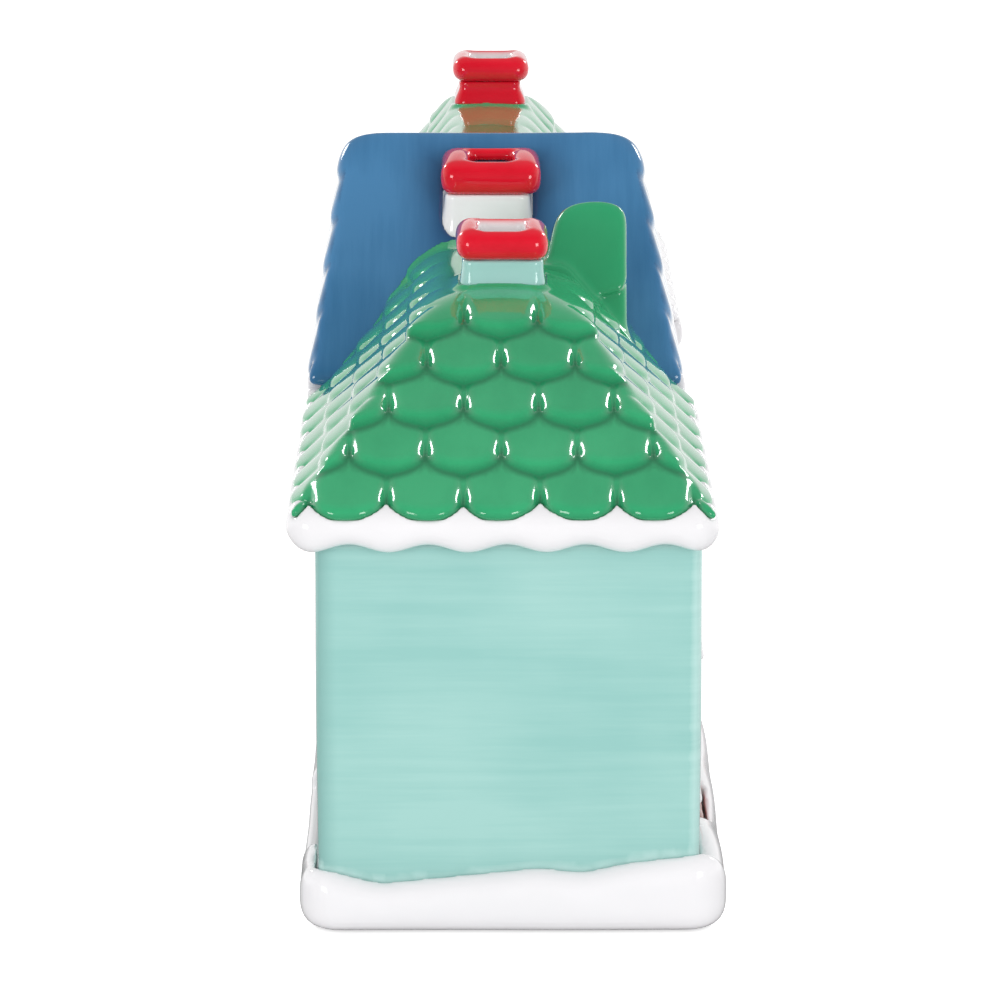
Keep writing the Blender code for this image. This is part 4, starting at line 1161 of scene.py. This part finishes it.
def turned(name, profile, centre, steps, ripple=None, closed=False):
    """Spins a profile of (radius, z) in millimetres round an upright axis at a centre in x.

    A closed profile makes a ring. Any other is capped at its first and its last point.
    """
    bm = bmesh.new()
    rings = []
    for radius, z in profile:
        ring = []
        for i in range(steps):
            angle = 2 * math.pi * i / steps
            r = radius + (ripple(angle, radius, z) if ripple else 0.0)
            place = Vector((centre + r * math.cos(angle), r * math.sin(angle), z))
            ring.append(bm.verts.new(place * MM))
        rings.append(ring)
    following = rings[1:] + rings[:1] if closed else rings[1:]
    for ring, after in zip(rings, following):
        for i in range(steps):
            j = (i + 1) % steps
            bm.faces.new((ring[i], ring[j], after[j], after[i]))
    if not closed:
        bm.faces.new(rings[0][::-1])
        bm.faces.new(rings[-1])
    bmesh.ops.recalc_face_normals(bm, faces=bm.faces)
    mesh = bpy.data.meshes.new(name)
    bm.to_mesh(mesh)
    bm.free()
    return mesh


def turned_piece(node, mesh, material, body, slot_name, crease=50):
    item = add_piece(node + "_made", mesh, material, body, slot_name, node)
    item.data.set_sharp_from_angle(angle=math.radians(crease))


def cup_profile(foot, rim):
    """The outside of the cup from its middle to its rolled rim, then its inside."""
    wall = CUP_RADIUS
    profile = [(0.2, foot), (17.6, foot), (18.5, foot + 0.25), (wall - 0.05, foot + 0.9)]
    profile += [(wall, foot + 2 + i * 1.3) for i in range(10)]
    profile += [(wall + 0.1, rim - 0.55), (wall + 0.4, rim - 0.3), (wall + 0.35, rim - 0.05), (wall, rim)]
    profile += [(wall - 0.38, rim - 0.2), (wall - 0.45, rim - 0.8)]
    profile += [(wall - 0.5, rim - 2 - i * 2.2) for i in range(6)]
    return profile + [(18.2, foot + 0.6), (0.2, foot + 0.5)]


def wax_profile(foot, top):
    """The wax, hollow round its wick, with a shallow dish in its top."""
    profile = [(6.3, foot + 0.8), (18.1, foot + 0.8), (18.2, top - 0.4), (18.12, top + 0.12)]
    profile += [(17.6, top - 0.12), (16.5, top - 0.25), (12, top - 0.3), (6, top - 0.35)]
    profile += [(2.2, top - 0.2), (1.3, top + 0.1), (1.1, top - 0.1), (1.1, foot + 4.1)]
    return profile + [(1.9, foot + 4.1), (1.9, foot + 1.7), (6.3, foot + 1.7)]


def flutes(angle, radius, z):
    """The upright flutes pressed into the cup's wall, fading towards its foot and its rim."""
    foot = FLOOR_Z + GAP
    height = max(0.0, min(1.0, (z - foot - 1) / 2, (foot + CUP_HEIGHT - 1.2 - z) / 2))
    return FLUTE_DEPTH * height * math.cos(FLUTE_COUNT * angle) if radius > 18 else 0.0


def braid(angle, radius, z):
    return 0.06 * math.cos(3 * angle + z * 5.0) * math.cos(3 * angle - z * 5.0) * radius


def build_tealights():
    foil, wax, cotton, tin = foil_material(), wax_material(), cotton_material(), tin_material()
    foot = FLOOR_Z + GAP
    tip = foot + CUP_HEIGHT
    tab = [(1.1, foot + 0.8), (6.0, foot + 0.8), (6.0, foot + 1.4), (2.4, foot + 1.4)]
    tab += [(1.6, foot + 1.8), (1.6, foot + 3.8), (1.1, foot + 3.8)]
    wick = [(0.78, foot + 0.8 + i * (tip - foot - 1.2) / 40) for i in range(41)]
    wick += [(0.7, tip - 0.2), (0.45, tip)]
    for house, centre in HOUSE_CENTRE.items():
        body = "tealight_" + house
        node = "tealight_cup_" + house
        mesh = turned(node, cup_profile(foot, tip), centre, 216, flutes)
        turned_piece(node, mesh, foil, body, "aluminium_cup")
        node = "tealight_wax_" + house
        mesh = turned(node, wax_profile(foot, foot + 12), centre, 120, closed=True)
        turned_piece(node, mesh, wax, body, "candle_wax")
        node = "wick_tab_" + house
        mesh = turned(node, tab, centre, 64, closed=True)
        turned_piece(node, mesh, tin, body, "wick_tab_steel", 40)
        node = "wick_" + house
        turned_piece(node, turned(node, wick, centre, 24, braid), cotton, body, "wick_cotton")


# Studio
def softbox(name, place, target, size, watts):
    light = bpy.data.lights.new(name, "AREA")
    light.shape = "SQUARE"
    light.size = size
    light.energy = watts
    item = bpy.data.objects.new(name, light)
    item.location = place
    aim = Vector(target) - Vector(place)
    item.rotation_euler = aim.to_track_quat("-Z", "Y").to_euler()
    bpy.context.scene.collection.objects.link(item)


def build_floor():
    """A white floor, white to the camera; in reflections it darkens towards the camera."""
    bm = bmesh.new()
    bmesh.ops.create_grid(bm, x_segments=8, y_segments=8, size=3.0)
    mesh = bpy.data.meshes.new("studio_floor")
    bm.to_mesh(mesh)
    bm.free()
    floor = bpy.data.objects.new("studio_floor", mesh)
    floor.location.z = -0.0002
    bpy.context.scene.collection.objects.link(floor)
    material = bpy.data.materials.new("floor_white")
    material.use_nodes = True
    nodes = Nodes(material.node_tree)
    path = nodes.node("ShaderNodeLightPath")
    mirrored = nodes.spread(nodes.place("Object", "X"), -0.14, 0.1, 0.14, 0.95)
    inputs = {
        "Base Color": nodes.blend(path.outputs["Is Glossy Ray"], 0.9, mirrored),
        "Roughness": 0.7,
        "Specular IOR Level": 0.0,
        "Emission Color": (1.0, 1.0, 1.0),
        "Emission Strength": nodes.math("MULTIPLY", path.outputs["Is Camera Ray"], 0.5),
    }
    nodes.feed(nodes.tree.nodes["Principled BSDF"], inputs)
    mesh.materials.append(material)


def build_world():
    """Even light all round; in reflections it darkens upwards and towards the camera."""
    world = bpy.data.worlds.new("studio")
    bpy.context.scene.world = world
    world.use_nodes = True
    nodes = Nodes(world.node_tree)
    height = nodes.spread(nodes.place("Generated", "Z"), 0.2, 0.75, 0.95, 0.2)
    side = nodes.spread(nodes.place("Generated", "X"), -0.45, 0.25, 0.15, 1.0)
    path = nodes.node("ShaderNodeLightPath")
    level = nodes.blend(path.outputs["Is Glossy Ray"], 0.9, nodes.math("MULTIPLY", height, side))
    shown = nodes.blend(path.outputs["Is Camera Ray"], level, 1.0)
    nodes.feed(nodes.tree.nodes["Background"], {"Color": (1.0, 1.0, 1.0), "Strength": shown})


def build_lamps():
    target = (-0.06, 0, 0.06)
    for side in (-1, 1):
        softbox("front_softbox", (-0.86, 0.62 * side, 0.26), target, 0.3, 1.7)
        softbox("back_softbox", (0.72, 0.65 * side, 0.56), target, 0.2, 1.4)


def build_camera():
    """The camera where the photograph was taken from, looking along the row and slightly down."""
    data = bpy.data.cameras.new("photo_camera")
    data.lens = 169.8
    data.sensor_width = 36
    item = bpy.data.objects.new("photo_camera", data)
    item.location = (-0.955, 0.0045, 0.2971)
    item.rotation_euler = (math.radians(90 - 14.5), 0, math.radians(-90 - 0.2))
    bpy.context.scene.collection.objects.link(item)
    bpy.context.scene.camera = item


build_camera()
build_floor()
build_world()
build_lamps()
build_base()
build_walls()
build_eaves()
build_roofs()
build_chimneys()
build_dormer()
build_fronts()
build_tealights()
bpy.context.scene.view_settings.view_transform = "Standard"
